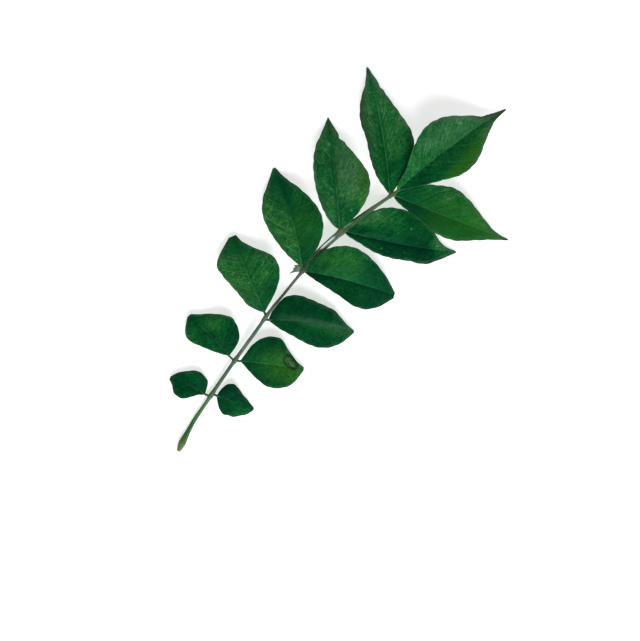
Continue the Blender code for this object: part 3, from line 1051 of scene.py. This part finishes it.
FINISHES = {
    "terminal": Finish(0.52, 0.35, 0.3, 36.0, 0.0, 0.65, 0.75, 0.45, (
        ("yellow", 27.1, -7.3, 13.0, 2.8, 0.95, 0.5, 0.6, -12.0),
        ("fresh", 25.0, -5.6, 13.0, 2.6, 0.5, 0.6, 0.5, -12.0),
        ("light", 6.1, -4.6, 10.0, 4.0, -0.20),
        ("light", 35.1, -3.6, 11.0, 2.6, 0.18, 0.6, 0.3, -16.0),
        ("light", 39.0, -2.8, 4.0, 2.4, 0.14, 0.6),
        ("light", 26.0, 6.5, 14.0, 3.5, 0.05),
        ("light", 24.0, 2.6, 20.0, 1.8, -0.08, 0.6),
        ("painted_sheen", 31.0, 5.4, 14.0, 4.2, 0.22, 0.6, 0.3, 6.0),
        ("cool", 39.5, 2.4, 6.0, 3.0, 0.25, 0.6, 0.3, 10.0),
        ("speck", 31.4, 5.8, 0.95, 0.4, 0.45, 0.5, 0.4, 52.0),
        ("brown", 47.6, 0.0, 2.4, 1.8, 0.7, 0.5, 0.4),
        ("brown margin", 42.0, 2.5, 4.5, 2.0, 0.6, 0.5, 0.4, 20.0))),
    "left_6": Finish(0.39, 0.50, 0.8, 42.0, 0.18, 0.4, 0.75, 0.35, (
        ("grey margin", 23.0, 5.0, 20.0, 3.0, 0.95, 0.3, 0.2),
        ("dull", 28.0, 3.2, 11.0, 2.4, 0.13, 0.6),
        ("cool", 38.0, -1.0, 7.0, 4.0, 0.25),
        ("light", 22.0, 2.3, 18.0, 0.9, 0.12, 0.6, 0.2),
        ("light", 10.0, 2.5, 7.0, 2.5, -0.07),
        ("light", 7.5, -6.0, 8.5, 4.5, -0.20, 0.6, 0.3, 8.0),
        ("light", 16.5, -4.5, 5.0, 3.6, 0.10),
        ("light", 26.0, -7.5, 5.0, 2.4, 0.10),
        ("light", 35.5, -0.6, 8.0, 5.0, 0.19, 0.8),
        ("brown", 44.8, 0.0, 2.2, 2.2, 0.6, 0.5, 0.4))),
    "left_5": Finish(0.50, 0.61, 0.8, 30.0, 0.22, 0.7, 0.6, 0.5, (
        ("yellow margin", 15.0, -10.5, 13.0, 4.0, 0.9, 0.4, 0.4),
        ("yellow", 11.5, -9.8, 8.0, 2.8, 0.45, 0.6),
        ("painted_sheen", 20.0, -4.5, 9.0, 3.6, 0.25),
        ("light", 4.0, -5.4, 5.4, 5.0, -0.28),
        ("light", 19.5, -8.0, 6.5, 3.5, 0.09),
        ("light", 16.5, 3.5, 4.0, 2.4, -0.08),
        ("light", 7.0, 5.4, 5.0, 2.4, -0.09),
        ("light", 31.0, 3.6, 5.4, 2.8, 0.17),
        ("light", 32.0, -2.0, 5.0, 3.0, 0.07),
        ("painted_sheen", 6.0, 4.0, 7.0, 4.0, 0.13),
        ("light", 33.5, -0.5, 7.0, 6.0, 0.06),
        ("cool", 33.5, 0.0, 8.0, 7.0, 0.38),
        ("speck", 29.8, 0.7, 0.6, 0.5, 0.6, 0.5, 0.4),
        ("speck", 13.1, -7.8, 0.5, 0.4, 0.4, 0.5, 0.4),
        ("speck", 6.0, -4.6, 0.5, 0.4, 0.4, 0.5, 0.4, 30.0),
        ("brown", 38.8, 0.0, 2.0, 2.2, 0.5, 0.5, 0.4))),
    "left_4": Finish(0.49, 0.27, 0.7, 22.0, 0.12, 0.5, 0.5, 1.1, (
        ("light", 30.5, 0.6, 8.5, 4.2, -0.19, 0.6),
        ("light", 24.5, 7.0, 5.5, 2.6, 0.14, 0.6),
        ("light", 5.0, -5.5, 5.0, 5.0, -0.19),
        ("light", 5.5, 5.0, 5.0, 3.0, -0.20, 0.6),
        ("light", 10.5, 3.0, 3.5, 3.0, 0.07),
        ("yellow", 12.4, 4.0, 12.0, 6.0, 0.15),
        ("painted_sheen", 5.0, 5.0, 5.0, 3.0, 0.1),
        ("cool", 28.5, 0.3, 9.0, 5.5, 0.5),
        ("fresh", 12.5, -5.5, 9.0, 5.0, 0.35))),
    "left_3": Finish(0.49, 0.38, 0.7, 26.0, 0.12, 0.5, 0.55, 0.8, (
        ("light", 25.5, -0.5, 3.5, 4.0, -0.13, 0.5),
        ("light", 4.5, -5.5, 5.0, 4.0, -0.20),
        ("light", 3.5, 2.0, 3.5, 3.5, -0.12),
        ("light", 5.0, 5.0, 5.0, 3.0, -0.18),
        ("light", 17.0, -6.0, 5.0, 3.2, 0.09),
        ("light", 20.5, 7.0, 3.5, 2.0, 0.13, 0.6),
        ("yellow", 14.5, 0.5, 10.0, 8.0, 0.18, 0.6),
        ("painted_sheen", 5.0, 4.0, 5.0, 3.0, 0.13),
        ("cool", 25.0, 0.0, 6.0, 8.0, 0.45),
        ("speck", 16.5, 4.5, 0.5, 0.4, 0.35, 0.5, 0.4),
        ("speck", 11.3, 1.0, 0.5, 0.35, 0.3, 0.5, 0.4, 20.0),
        ("brown margin", 28.0, 0.5, 2.5, 6.0, 0.6, 0.5, 0.4))),
    "left_2": Finish(0.28, 0.22, 0.35, 18.0, 0.08, 0.4, 0.35, 0.7, (
        ("light", 2.5, -5.0, 4.0, 5.0, -0.14),
        ("light", 12.7, -5.0, 3.8, 3.4, 0.13),
        ("light", 14.3, 2.0, 2.6, 2.0, -0.07),
        ("light", 15.8, 4.4, 3.2, 2.0, 0.12),
        ("light", 4.5, 1.2, 3.5, 1.2, 0.07),
        ("light", 4.0, 4.6, 4.5, 3.0, -0.17),
        ("light", 9.5, -1.5, 3.5, 1.3, -0.05),
        ("yellow", 12.0, -4.6, 3.6, 3.2, 0.22))),
    "left_1": Finish(0.12, 0.13, 0.2, 10.0, 0.0, 0.3, 0.15, 0.3, (
        ("light", 6.5, -1.6, 6.0, 1.5, -0.09),
        ("light", 7.0, -4.6, 3.5, 1.6, 0.09))),
    "right_6": Finish(0.48, 0.33, 0.4, 24.0, 0.08, 0.6, 0.55, 0.4, (
        ("light", 3.6, 0.0, 10.0, 9.0, -0.22, 0.6),
        ("fresh", 28.0, -1.0, 17.0, 9.0, 0.55, 0.5),
        ("yellow", 36.0, 2.0, 9.0, 7.0, 0.40, 0.6),
        ("light", 18.0, -2.0, 5.0, 3.6, -0.12),
        ("light", 10.0, -4.4, 8.0, 2.6, -0.07),
        ("light", 20.0, 1.8, 6.0, 1.6, -0.09),
        ("light", 20.5, 7.8, 6.0, 2.4, 0.12),
        ("light", 37.0, 0.5, 7.0, 4.5, 0.2),
        ("light", 34.0, 2.8, 7.0, 3.0, 0.16),
        ("light", 20.0, -5.2, 6.0, 2.0, -0.06),
        ("brown", 42.8, 0.0, 1.9, 2.2, 0.7, 0.5, 0.4))),
    "right_5": Finish(0.29, 0.08, 0.4, 10.0, 0.08, 0.5, 0.35, 0.5, (
        ("light", 6.0, 5.5, 6.5, 3.2, 0.24),
        ("light", 12.5, 8.8, 7.5, 2.6, 0.17, 0.6),
        ("light", 20.0, 0.5, 17.0, 2.0, -0.14, 0.6),
        ("light", 25.5, 3.5, 5.0, 5.0, -0.11, 0.6),
        ("light", 31.5, -4.5, 6.0, 2.4, -0.08),
        ("light", 6.5, 2.2, 5.0, 1.5, -0.17),
        ("light", 7.0, -2.0, 5.0, 1.6, 0.07),
        ("painted_sheen", 5.0, 6.5, 7.0, 3.0, 0.12, 0.6),
        ("speck", 13.7, -3.7, 0.5, 0.35, 0.35, 0.5, 0.4),
        ("speck", 22.7, 5.1, 0.5, 0.4, 0.3, 0.5, 0.4),
        ("light", 36.6, 0.8, 5.0, 4.4, 0.46, 0.5))),
    "right_4": Finish(0.345, 0.13, 0.4, 30.0, 0.0, 1.2, 0.2, 0.5, (
        ("light", 27.5, 6.5, 8.0, 6.5, -0.30, 0.5),
        ("light", 2.5, 3.5, 4.5, 5.0, -0.15),
        ("light", 9.8, 2.2, 4.5, 2.4, -0.14),
        ("yellow", 10.5, 7.0, 9.0, 5.5, 0.28, 0.6),
        ("cool", 27.0, 4.0, 7.0, 7.0, 0.33),
        ("light", 17.0, 3.2, 7.0, 3.0, -0.08),
        ("light", 26.5, 2.6, 5.5, 2.6, -0.12),
        ("light", 28.5, -4.0, 5.0, 4.5, -0.07),
        ("light", 20.5, -2.0, 7.0, 2.0, 0.05))),
    "right_3": Finish(0.12, 0.16, 0.3, 16.0, 0.0, 0.5, 0.28, 0.35, (
        ("light", 22.0, -0.3, 10.0, 2.0, 0.16, 0.6, 0.2),
        ("painted_sheen", 15.5, 1.2, 12.0, 1.3, 0.24, 0.6, 0.3, 3.0),
        ("painted_sheen", 26.3, 0.3, 4.6, 2.4, 0.15),
        ("speck margin", 12.0, 8.0, 14.0, 4.0, 0.06, 0.5, 0.6))),
    "right_2": Finish(0.19, 0.20, 0.6, 18.0, 0.08, 0.4, 0.25, 0.4, (
        ("light", 15.0, -1.4, 8.0, 3.6, 0.18),
        ("light", 11.5, -5.2, 4.5, 2.5, -0.10),
        ("light", 11.5, 6.0, 5.0, 3.2, -0.10),
        ("yellow", 15.5, 0.5, 8.0, 5.5, 0.55, 0.7, 0.2),
        ("yellow", 19.5, -2.5, 4.0, 4.5, 0.3, 0.7, 0.2),
        ("ring", 17.3, 1.8, 3.2, 2.1, 0.92, 0.2, 0.4, 35.0),
        ("scar", 17.2, 1.75, 2.2, 1.25, 0.92, 0.25, 0.55, 35.0),
        ("ring", 16.6, 1.5, 0.9, 0.35, 0.7, 0.5, 0.6, 60.0),
        ("ring", 17.9, 2.3, 0.9, 0.30, 0.6, 0.5, 0.6, 10.0),
        ("speck", 17.4, 1.3, 1.3, 0.28, 0.35, 0.5, 0.6, 35.0))),
    "right_1": Finish(0.0, 0.14, 0.3, 8.0, 0.0, 0.3, 0.12, 0.3, (
        ("light", 11.0, -2.0, 4.0, 3.0, 0.16, 0.8),
        ("light", 10.5, 1.8, 3.5, 1.8, -0.12))),
}


# How far from the edge a patch that paints a margin shows, in millimetres
MARGIN = (0.6, 1.3)
# Relief of the upper skin, and of undersides, stem and stalks
LEAF_RELIEF = 0.14 * MM
FINE_RELIEF = 0.08 * MM
# Underside: sizes of its clouds and of its net, the width of a veinlet, the spacing, radius and
# cover of its gland dots, and width and gaps of its side veins
UNDER_CLOUD = 4.0 * MM
UNDER_MESH = 1.1 * MM
UNDER_VEINLET = (0.02, 0.13)
UNDER_GLANDS = (0.85 * MM, 0.25, 0.8)
UNDER_VEIN_LINE = (0.34, 0.3)
# Stem: streaks with their turn, stretch and size, flecks with their spacing, radius and cover,
# and their strength
STREAK_TURN = math.radians(-10)
STREAK_STRETCH = (0.12, 1.0, 1.0)
STREAK_SIZE = 0.35 * MM
FLECKS = (0.6 * MM, 0.3, 0.35)
FLECKS_SHOW = 0.3
# Stripes: length of their soft ends in millimetres, share of the width that is full, and size
# and strength of the pattern that makes them wander
STRIPE_END = 1.5
STRIPE_CORE = 0.4
STRIPE_SWELL = 2.0 * MM
STRIPE_WANDER = 0.3
# How far the colours along the stem wander in millimetres, and the size of that pattern
BAND_SHIFT = 3.0
BAND_SWELL = 3.0 * MM
# Colours along the stem, and its stripes: colour, from and to along it, place across it from
# right to left as -1 to 1, width and strength; the whitish stripes are painted highlights along
# the top of the stem and its groove
STEM_BANDS = (
    (-1.0, "stem_foot"), (3.0, "stem_foot"), (6.0, "stem_green"), (11.0, "stem_green"),
    (14.5, "stem_fresh"), (19.0, "stem_fresh"), (24.0, "stem_grey"), (37.0, "stem_grey"),
    (41.0, "stem_pale"), (46.5, "stem_pale"), (50.0, "stem_grey"), (58.5, "stem_grey"),
    (61.0, "stem_shade"), (65.5, "stem_shade"), (68.0, "stem_purple"), (72.5, "stem_purple"),
    (76.5, "stem_brown"), (83.0, "stem_brown"), (87.0, "stem_flank"), (92.5, "stem_flank"),
    (94.5, "stem_knot"), (98.0, "stem_brown"), (104.0, "stem_brown"), (108.5, "stem_end"),
    (113.0, "stem_end"), (116.0, "stem_knot"), (119.0, "stem_knot"),
)
STEM_STRIPES = (
    ("stem_grey", 76.5, 84.5, -0.5, 0.35, 0.6), ("stem_painted_highlight", 84.5, 92.0, 0.2, 0.5, 0.92),
    ("stem_groove", 97.0, 107.5, -0.15, 0.8, 0.85), ("stem_painted_highlight", 95.5, 99.5, 0.4, 0.25, 0.4),
    ("stem_painted_highlight", 40.0, 44.5, 0.1, 0.4, 0.15),
)
STALK_BANDS = (
    (-1.0, "stalk"), (72.0, "stalk"), (80.0, "stalk_knot"), (125.0, "stalk_knot"),
    (130.0, "stalk"), (165.0, "stalk"),
)
BUD_BANDS = (
    (70.5, "bud_tip"), (72.0, "bud_tip"), (73.6, "bud"), (75.4, "bud"), (76.4, "stem_brown"),
)


def leaf_material(name):
    """Upper side of one leaflet: the skin with that leaflet's tones and patches."""
    colours = bpy.context.scene.sprig_colours
    finish = FINISHES[name]
    material, w, shader = new_material("leaf_" + name)
    here = w.here()
    blade_map = w.uv("blade")
    margin = w.span(w.attribute("edge"), *MARGIN, 1.0, 0.0)
    shift, yellow, coats = 0.0, 0.0, []
    for values in finish.patches:
        patch = Patch(*values)
        mask = w.effect("Sprig patch", patch_group, {
            "Map": blade_map, "Turn": math.radians(patch.turn),
            "Centre": (patch.along / MAP_SIDE, 0.5 + patch.across / MAP_SIDE, 0.0),
            "Reach": (patch.length / MAP_SIDE, patch.width / MAP_SIDE, 1.0),
            "Soft": patch.soft, "Ragged": patch.ragged, "Vector": here})["Mask"]
        mask = w.times(mask, patch.strength)
        paint, _, where = patch.paint.partition(" ")
        if where == "margin":
            mask = w.times(mask, margin)
        # A patch of light paints light into the tone, and paints shade where its strength is below
        # nought
        if paint == "light":
            shift = w.plus(shift, mask)
        elif paint == "yellow":
            yellow = w.plus(yellow, mask)
        else:
            coats.append((mask, getattr(colours, PAINTS[paint])))
    skin = w.effect("Sprig skin", skin_group, {
        "Left tone": finish.left, "Right tone": finish.right, "Shift": shift, "Yellow": yellow,
        "Dots": finish.dots, "Rim": finish.rim, "Veins": finish.veins, "Rib": finish.rib,
        "Rib reach": finish.reach / MAP_SIDE, "Flank": finish.flank})
    colour = skin["Colour"]
    for mask, coat in coats:
        colour = w.mix(mask, colour, coat)
    w.fill(shader, {
        "Base Color": colour, "Roughness": skin["Roughness"],
        "Normal": w.bump(0.7, LEAF_RELIEF, skin["Height"]),
        "Specular IOR Level": 0.1, "Specular Tint": (*colours.sheen, 1)})
    return material


def underside_material():
    """Under side of the leaflets: paler and matt, with its veins and dark gland dots."""
    found = bpy.data.materials.get("leaf_underside")
    if found:
        return found
    colours = bpy.context.scene.sprig_colours
    material, w, shader = new_material("leaf_underside")
    here = w.here()
    cloud = w.noise(here, UNDER_CLOUD, 4.0, 0.6)
    veinlets = w.net(here, UNDER_MESH, UNDER_VEINLET)
    dots = w.dots(here, *UNDER_GLANDS)
    side_veins = w.line(here, w.attribute("vein"), *UNDER_VEIN_LINE)
    colour = w.mix(w.span(cloud, *NOISE_SPAN), colours.under_dark, colours.under_light)
    for mask, strength, coat in ((veinlets, 0.3, colours.rib), (dots, 0.5, colours.leaf_light),
                                 (side_veins, 0.7, colours.rib)):
        colour = w.mix(w.times(mask, strength), colour, coat)
    height = w.plus(veinlets, w.times(side_veins, 1.5))
    w.fill(shader, {
        "Base Color": colour, "Roughness": w.span(cloud, *NOISE_SPAN, 0.55, 0.7),
        "Normal": w.bump(0.5, FINE_RELIEF, height), "Specular IOR Level": 0.25})
    return material


def stripe_group(name):
    """Lengthwise stripe on the stem: from one place to another, soft at ends and sides."""
    w, given, end = new_group(
        name,
        [("Along", "value", 0.0), ("Side", "value", 0.0), ("From", "value", 0.0),
         ("To", "value", 1.0), ("Middle", "value", 0.0), ("Width", "value", 0.3),
         ("Vector", "vector", None)],
        [("Mask", "value")])
    begin = w.span(given["Along"], given["From"], w.plus(given["From"], STRIPE_END))
    finish = w.span(given["Along"], w.minus(given["To"], STRIPE_END), given["To"], 1.0, 0.0)
    wander = w.times(w.minus(w.noise(given["Vector"], STRIPE_SWELL, 2.0), 0.5), STRIPE_WANDER)
    away = w.plus(w.minus(given["Side"], given["Middle"]), wander)
    core = w.times(given["Width"], STRIPE_CORE)
    near = w.span(w.math("ABSOLUTE", away), core, given["Width"], 1.0, 0.0)
    w.fill(end, {"Mask": w.times(near, w.times(begin, finish))})
    return w.tree


def bark_material(name, bands, stripes=()):
    """Skin of a stem, stalk or bud: colours along x, stripes, streaks, flecks and fine relief."""
    found = bpy.data.materials.get(name)
    if found:
        return found
    colours = bpy.context.scene.sprig_colours
    material, w, shader = new_material(name)
    here = w.here()
    x = w.node("ShaderNodeSeparateXYZ", {0: here}).outputs[0]
    along = w.minus(w.math("DIVIDE", x, MM), FOOT_X)
    shift = w.times(w.minus(w.noise(here, BAND_SWELL, 3.0), 0.5), BAND_SHIFT)
    first, last = bands[0][0], bands[-1][0]
    share = w.node("ShaderNodeMapRange", {
        "Value": w.plus(along, shift), "From Min": first, "From Max": last}).outputs[0]
    colour = w.ramp(share, (
        ((place - first) / (last - first), getattr(colours, shade)) for place, shade in bands))
    for shade, begin, finish, middle, width, strength in stripes:
        mask = w.effect("Sprig stripe", stripe_group, {
            "Along": along, "Side": w.attribute("side"), "From": begin, "To": finish,
            "Middle": middle, "Width": width, "Vector": here})["Mask"]
        colour = w.mix(w.times(mask, strength), colour, getattr(colours, shade))
    stretched = w.node("ShaderNodeMapping", {
        "Vector": here, "Rotation": (0.0, 0.0, STREAK_TURN), "Scale": STREAK_STRETCH}).outputs[0]
    streaks = w.noise(stretched, STREAK_SIZE, 4.0, 0.6)
    colour = w.vector_math("SCALE", colour, w.span(streaks, *NOISE_SPAN, 0.8, 1.2))
    flecks = w.dots(stretched, *FLECKS)
    colour = w.mix(w.times(flecks, FLECKS_SHOW), colour, colours.fleck)
    height = w.minus(streaks, w.times(flecks, FLECKS_SHOW))
    w.fill(shader, {
        "Base Color": colour, "Roughness": w.span(streaks, *NOISE_SPAN, 0.42, 0.62),
        "Normal": w.bump(0.6, FINE_RELIEF, height), "Specular IOR Level": 0.15})
    return material


def length(name, description, default):
    """Length of a piece that a user may change."""
    return FloatProperty(name=name, description=description, default=default, min=0.0,
                         unit="LENGTH", precision=5)


def tint(name, description, default):
    """Colour that a user may change."""
    return FloatVectorProperty(name=name, description=description, default=default, size=3,
                               min=0.0, max=1.0, subtype="COLOR")


class SprigShape(bpy.types.PropertyGroup):
    """Sizes of the sprig."""
    stem_height: length("Stem height", "Height of the stem's centre above the surface at its top",
                        7.6 * MM)
    stalk_radius: length("Stalk radius", "Radius of a leaflet's stalk", 0.32 * MM)
    thickness: length("Midrib thickness", "Thickness of a blade at its midrib", 0.45 * MM)
    rib_depth: length("Midrib depth", "Depth of the channel along the midrib", 0.12 * MM)
    vein_depth: length("Vein depth", "Depth of the grooves along the side veins", 0.05 * MM)
    quilting: length("Quilting", "Depth of the dips along the side veins", 0.06 * MM)
    swells: length("Swells", "Height of the uneven lie of the blades", 0.3 * MM)
    teeth: FloatProperty(name="Teeth", description="Size of the teeth of the margins", default=0.55,
                         min=0.0, max=2.0, subtype="FACTOR")


class SprigColours(bpy.types.PropertyGroup):
    """Colours of the sprig."""
    leaf_dark: tint("Leaf, dark", "Darkest green of the upper skin", (0.0002, 0.026, 0.0118))
    leaf_middle: tint("Leaf, middle", "Usual green of the upper skin", (0.0030, 0.085, 0.0190))
    leaf_light: tint("Leaf, light", "Lightest green of the upper skin", (0.0300, 0.155, 0.0400))
    leaf_pale: tint("Leaf, pale", "Green of the palest veins", (0.0750, 0.230, 0.0750))
    leaf_cool: tint("Leaf, cool", "Bluish green of the tips", (0.0004, 0.076, 0.0200))
    leaf_grey: tint("Leaf, grey", "Greyish green where the skin is dull", (0.022, 0.060, 0.030))
    # Painted sheen: pale greyish green laid where the skin would catch the light
    leaf_painted_sheen: tint("Leaf, painted sheen", "Pale greyish green of the sheen", (0.070, 0.160, 0.085))
    leaf_dull: tint("Leaf, dull", "Brownish grey green under the sheen", (0.085, 0.105, 0.070))
    leaf_fresh: tint("Leaf, fresh", "Fresh green with little blue", (0.014, 0.105, 0.009))
    leaf_yellow: tint("Leaf, yellow", "Yellow green of ageing places", (0.034, 0.138, 0.010))
    rib: tint("Midrib", "Midrib and the veins below", (0.050, 0.200, 0.070))
    speck: tint("Specks", "Pale specks on the skin", (0.09, 0.30, 0.16))
    rim: tint("Rim", "Greyish rim of the margins", (0.068, 0.122, 0.082))
    sheen: tint("Leaf, sheen", "Tint of the gloss of the upper skin", (0.15, 1.0, 0.40))
    dry: tint("Dry", "Dried tips and spots", (0.022, 0.040, 0.018))
    scar_rim: tint("Scar, rim", "Dark ring round a healed bite", (0.002, 0.026, 0.005))
    scar: tint("Scar", "Tan middle of a healed bite", (0.045, 0.085, 0.034))
    under_dark: tint("Underside, dark", "Darker green of the underside", (0.075, 0.170, 0.065))
    under_light: tint("Underside, light", "Lighter green of the underside", (0.115, 0.230, 0.090))
    stem_foot: tint("Stem, foot", "Olive green of the swollen foot", (0.078, 0.140, 0.040))
    stem_green: tint("Stem, green", "Green above the foot", (0.036, 0.121, 0.034))
    stem_fresh: tint("Stem, fresh", "Light green of the lower stem", (0.056, 0.171, 0.057))
    stem_grey: tint("Stem, grey", "Grey green of the middle", (0.062, 0.118, 0.070))
    stem_pale: tint("Stem, pale", "Pale grey of worn places", (0.086, 0.128, 0.110))
    stem_shade: tint("Stem, shade", "Dark stretch above the third node", (0.030, 0.060, 0.040))
    stem_purple: tint("Stem, purple", "Purplish grey of the thin stretch", (0.094, 0.108, 0.094))
    stem_brown: tint("Stem, brown", "Brownish green of the upper stem", (0.022, 0.060, 0.026))
    stem_flank: tint("Stem, flanks", "Greyish brown beside the pale groove", (0.090, 0.125, 0.092))
    # Painted highlight: whitish stripes that stand for the gleam along the top of the stem
    stem_painted_highlight: tint("Stem, painted highlight", "Whitish painted highlight along the groove", (0.560, 0.660, 0.560))
    stem_groove: tint("Stem, groove", "Green floor of the groove", (0.042, 0.135, 0.048))
    stem_knot: tint("Stem, nodes", "Olive green of the last nodes", (0.060, 0.112, 0.040))
    stem_end: tint("Stem, end", "Olive grey of the end", (0.084, 0.134, 0.078))
    stalk: tint("Stalks", "Green of the leaflet stalks", (0.034, 0.080, 0.036))
    stalk_knot: tint("Last stalks", "Yellow green of the last stalks", (0.062, 0.120, 0.036))
    bud: tint("Withered bud", "Dry grey of the bud's scales", (0.128, 0.172, 0.138))
    bud_tip: tint("Withered bud, tips", "Darker tips of the scales", (0.090, 0.122, 0.102))
    fleck: tint("Flecks", "Dark flecks on the stem", (0.020, 0.035, 0.020))


class SprigStage(bpy.types.PropertyGroup):
    """Floor and lights."""
    floor: tint("Floor", "Colour of the floor", (0.60, 0.60, 0.60))
    key_watts: FloatProperty(name="Key light", description="Power of the main light", default=76.0,
                             min=0.0, unit="POWER")
    fill_watts: FloatProperty(name="Fill lights", description="Power of each low light",
                              default=14.0, min=0.0, unit="POWER")
    sky: FloatProperty(name="Sky", description="Strength of the light from all round",
                       default=0.04, min=0.0)
    floor_glow: FloatProperty(name="Floor glow", description="Light given off by the floor",
                              default=0.65, min=0.0)


class SPRIG_OT_stem(bpy.types.Operator):
    """Add the stem with its swollen foot and its nodes"""
    bl_idname = "sprig.stem"
    bl_label = "Stem"

    def execute(self, context):
        make_stem()
        return {"FINISHED"}


class SPRIG_OT_stalks(bpy.types.Operator):
    """Add the stalks of the leaflets, each with the ridge under its midrib"""
    bl_idname = "sprig.stalks"
    bl_label = "Leaflet stalks"

    def execute(self, context):
        for name, leaf in LEAFLETS.items():
            make_stalk(name, leaf, context.scene.sprig_shape.stalk_radius / MM)
        return {"FINISHED"}


class SPRIG_OT_bud(bpy.types.Operator):
    """Add the withered bud at the fourth node"""
    bl_idname = "sprig.bud"
    bl_label = "Withered bud"

    def execute(self, context):
        make_bud()
        return {"FINISHED"}


class SPRIG_OT_terminal(bpy.types.Operator):
    """Add the leaflet at the tip"""
    bl_idname = "sprig.terminal"
    bl_label = "Terminal leaflet"

    def execute(self, context):
        make_blades("terminal")
        return {"FINISHED"}


class SPRIG_OT_left(bpy.types.Operator):
    """Add the leaflets to the left of the stem"""
    bl_idname = "sprig.left"
    bl_label = "Left leaflets"

    def execute(self, context):
        make_blades("left")
        return {"FINISHED"}


class SPRIG_OT_right(bpy.types.Operator):
    """Add the leaflets to the right of the stem"""
    bl_idname = "sprig.right"
    bl_label = "Right leaflets"

    def execute(self, context):
        make_blades("right")
        return {"FINISHED"}


# The picture: its turn against the plan, its middle in the plan, millimetres to a pixel, its
# longer side in pixels, the lens and its sensor, and how near it sees
VIEW_TURN = 46.0
VIEW_MIDDLE = (66.98, -4.11)
VIEW_SCALE = 0.35
VIEW_SIDE = 641
LENS = 200.0
SENSOR = 36.0
CLIP_START = 0.01
# Floor: its side and the size of its clouds, in metres
FLOOR_SIDE = 3.0
FLOOR_CLOUD = 0.3
# Lights: their distance, and each one's turn from the picture's lower edge to its right and its
# height, in degrees, and its side
LIGHT_REACH = 2.4
KEY = (12.0, 42.0, 1.4)
FILLS = ((100.0, 18.0, 1.2), (190.0, 18.0, 1.2), (280.0, 18.0, 1.2))


def add_light(name, turn, height, side, watts):
    """Square soft light that looks at the middle of the sprig."""
    down = math.radians(-90 - VIEW_TURN + turn)
    rise = math.radians(height)
    level = math.cos(rise)
    away = Vector((math.cos(down) * level, math.sin(down) * level, math.sin(rise)))
    clear_selection()
    bpy.ops.object.light_add(
        type="AREA", location=placed(*VIEW_MIDDLE, 0.0) + away * LIGHT_REACH,
        rotation=away.to_track_quat("Z", "Y").to_euler())
    light = bpy.context.object
    light.name = light.data.name = name
    light.data.shape = "SQUARE"
    light.data.size = side
    light.data.energy = watts


def floor_material(colour, glow):
    """Smooth pale board, lit from within and very slightly uneven."""
    material, w, shader = new_material("floor")
    shade = w.span(w.noise(w.here(), FLOOR_CLOUD, 3.0), *NOISE_SPAN, 0.99, 1.01)
    w.fill(shader, {
        "Base Color": w.vector_math("SCALE", tuple(colour), shade), "Roughness": 0.8,
        "Emission Color": (1.0, 1.0, 1.0, 1.0), "Emission Strength": glow,
        "Specular IOR Level": 0.2})
    return material


class SPRIG_OT_stage(bpy.types.Operator):
    """Add the floor, the lights and the camera"""
    bl_idname = "sprig.stage"
    bl_label = "Stage"

    def execute(self, context):
        settings = context.scene.sprig_stage
        clear_selection()
        bpy.ops.mesh.primitive_plane_add(size=FLOOR_SIDE, location=(0.0, 0.0, 0.0))
        floor = settle()
        floor.name = floor.data.name = "floor"
        floor.data.materials.append(floor_material(settings.floor, settings.floor_glow))
        add_light("key", *KEY, settings.key_watts)
        for k, fill in enumerate(FILLS):
            add_light(f"fill_{k + 1}", *fill, settings.fill_watts)
        world = context.scene.world or bpy.data.worlds.new("sky")
        context.scene.world = world
        world.use_nodes = True
        sky = world.node_tree.nodes["Background"]
        sky.inputs["Color"].default_value = (1.0, 1.0, 1.0, 1.0)
        sky.inputs["Strength"].default_value = settings.sky

        distance = LENS / SENSOR * VIEW_SIDE * VIEW_SCALE * MM
        clear_selection()
        place = placed(*VIEW_MIDDLE, 0.0) + Vector((0.0, 0.0, distance))
        bpy.ops.object.camera_add(location=place, rotation=(0.0, 0.0, math.radians(-VIEW_TURN)))
        camera = context.object
        camera.name = camera.data.name = "camera"
        camera.data.lens = LENS
        camera.data.sensor_width = SENSOR
        camera.data.clip_start = CLIP_START
        context.scene.camera = camera
        context.scene.view_settings.view_transform = "Standard"
        return {"FINISHED"}


class SPRIG_PT_panel(bpy.types.Panel):
    """Lists the pieces of the sprig"""
    bl_label = "Curry leaf sprig"
    bl_idname = "SPRIG_PT_panel"
    bl_space_type = "VIEW_3D"
    bl_region_type = "UI"
    bl_category = "Sprig"

    def draw(self, context):
        for operator in OPERATORS:
            self.layout.operator(operator.bl_idname)
        for settings in (context.scene.sprig_shape, context.scene.sprig_colours,
                         context.scene.sprig_stage):
            box = self.layout.box()
            for key in settings.bl_rna.properties.keys():
                if key not in ("name", "rna_type"):
                    box.prop(settings, key)


OPERATORS = (SPRIG_OT_stem, SPRIG_OT_stalks, SPRIG_OT_bud, SPRIG_OT_terminal, SPRIG_OT_left,
             SPRIG_OT_right, SPRIG_OT_stage)
GROUPS = (("sprig_shape", SprigShape), ("sprig_colours", SprigColours), ("sprig_stage", SprigStage))


def register():
    """Adds the settings, the operators and the panel to Blender."""
    for key, group in GROUPS:
        bpy.utils.register_class(group)
        setattr(bpy.types.Scene, key, PointerProperty(type=group))
    for operator in OPERATORS:
        bpy.utils.register_class(operator)
    bpy.utils.register_class(SPRIG_PT_panel)


def unregister():
    """Takes them out again."""
    bpy.utils.unregister_class(SPRIG_PT_panel)
    for operator in reversed(OPERATORS):
        bpy.utils.unregister_class(operator)
    for key, group in reversed(GROUPS):
        delattr(bpy.types.Scene, key)
        bpy.utils.unregister_class(group)


def main():
    register()
    bpy.ops.sprig.stem()
    bpy.ops.sprig.stalks()
    bpy.ops.sprig.bud()
    bpy.ops.sprig.terminal()
    bpy.ops.sprig.left()
    bpy.ops.sprig.right()
    bpy.ops.sprig.stage()


if __name__ == "__main__":
    main()
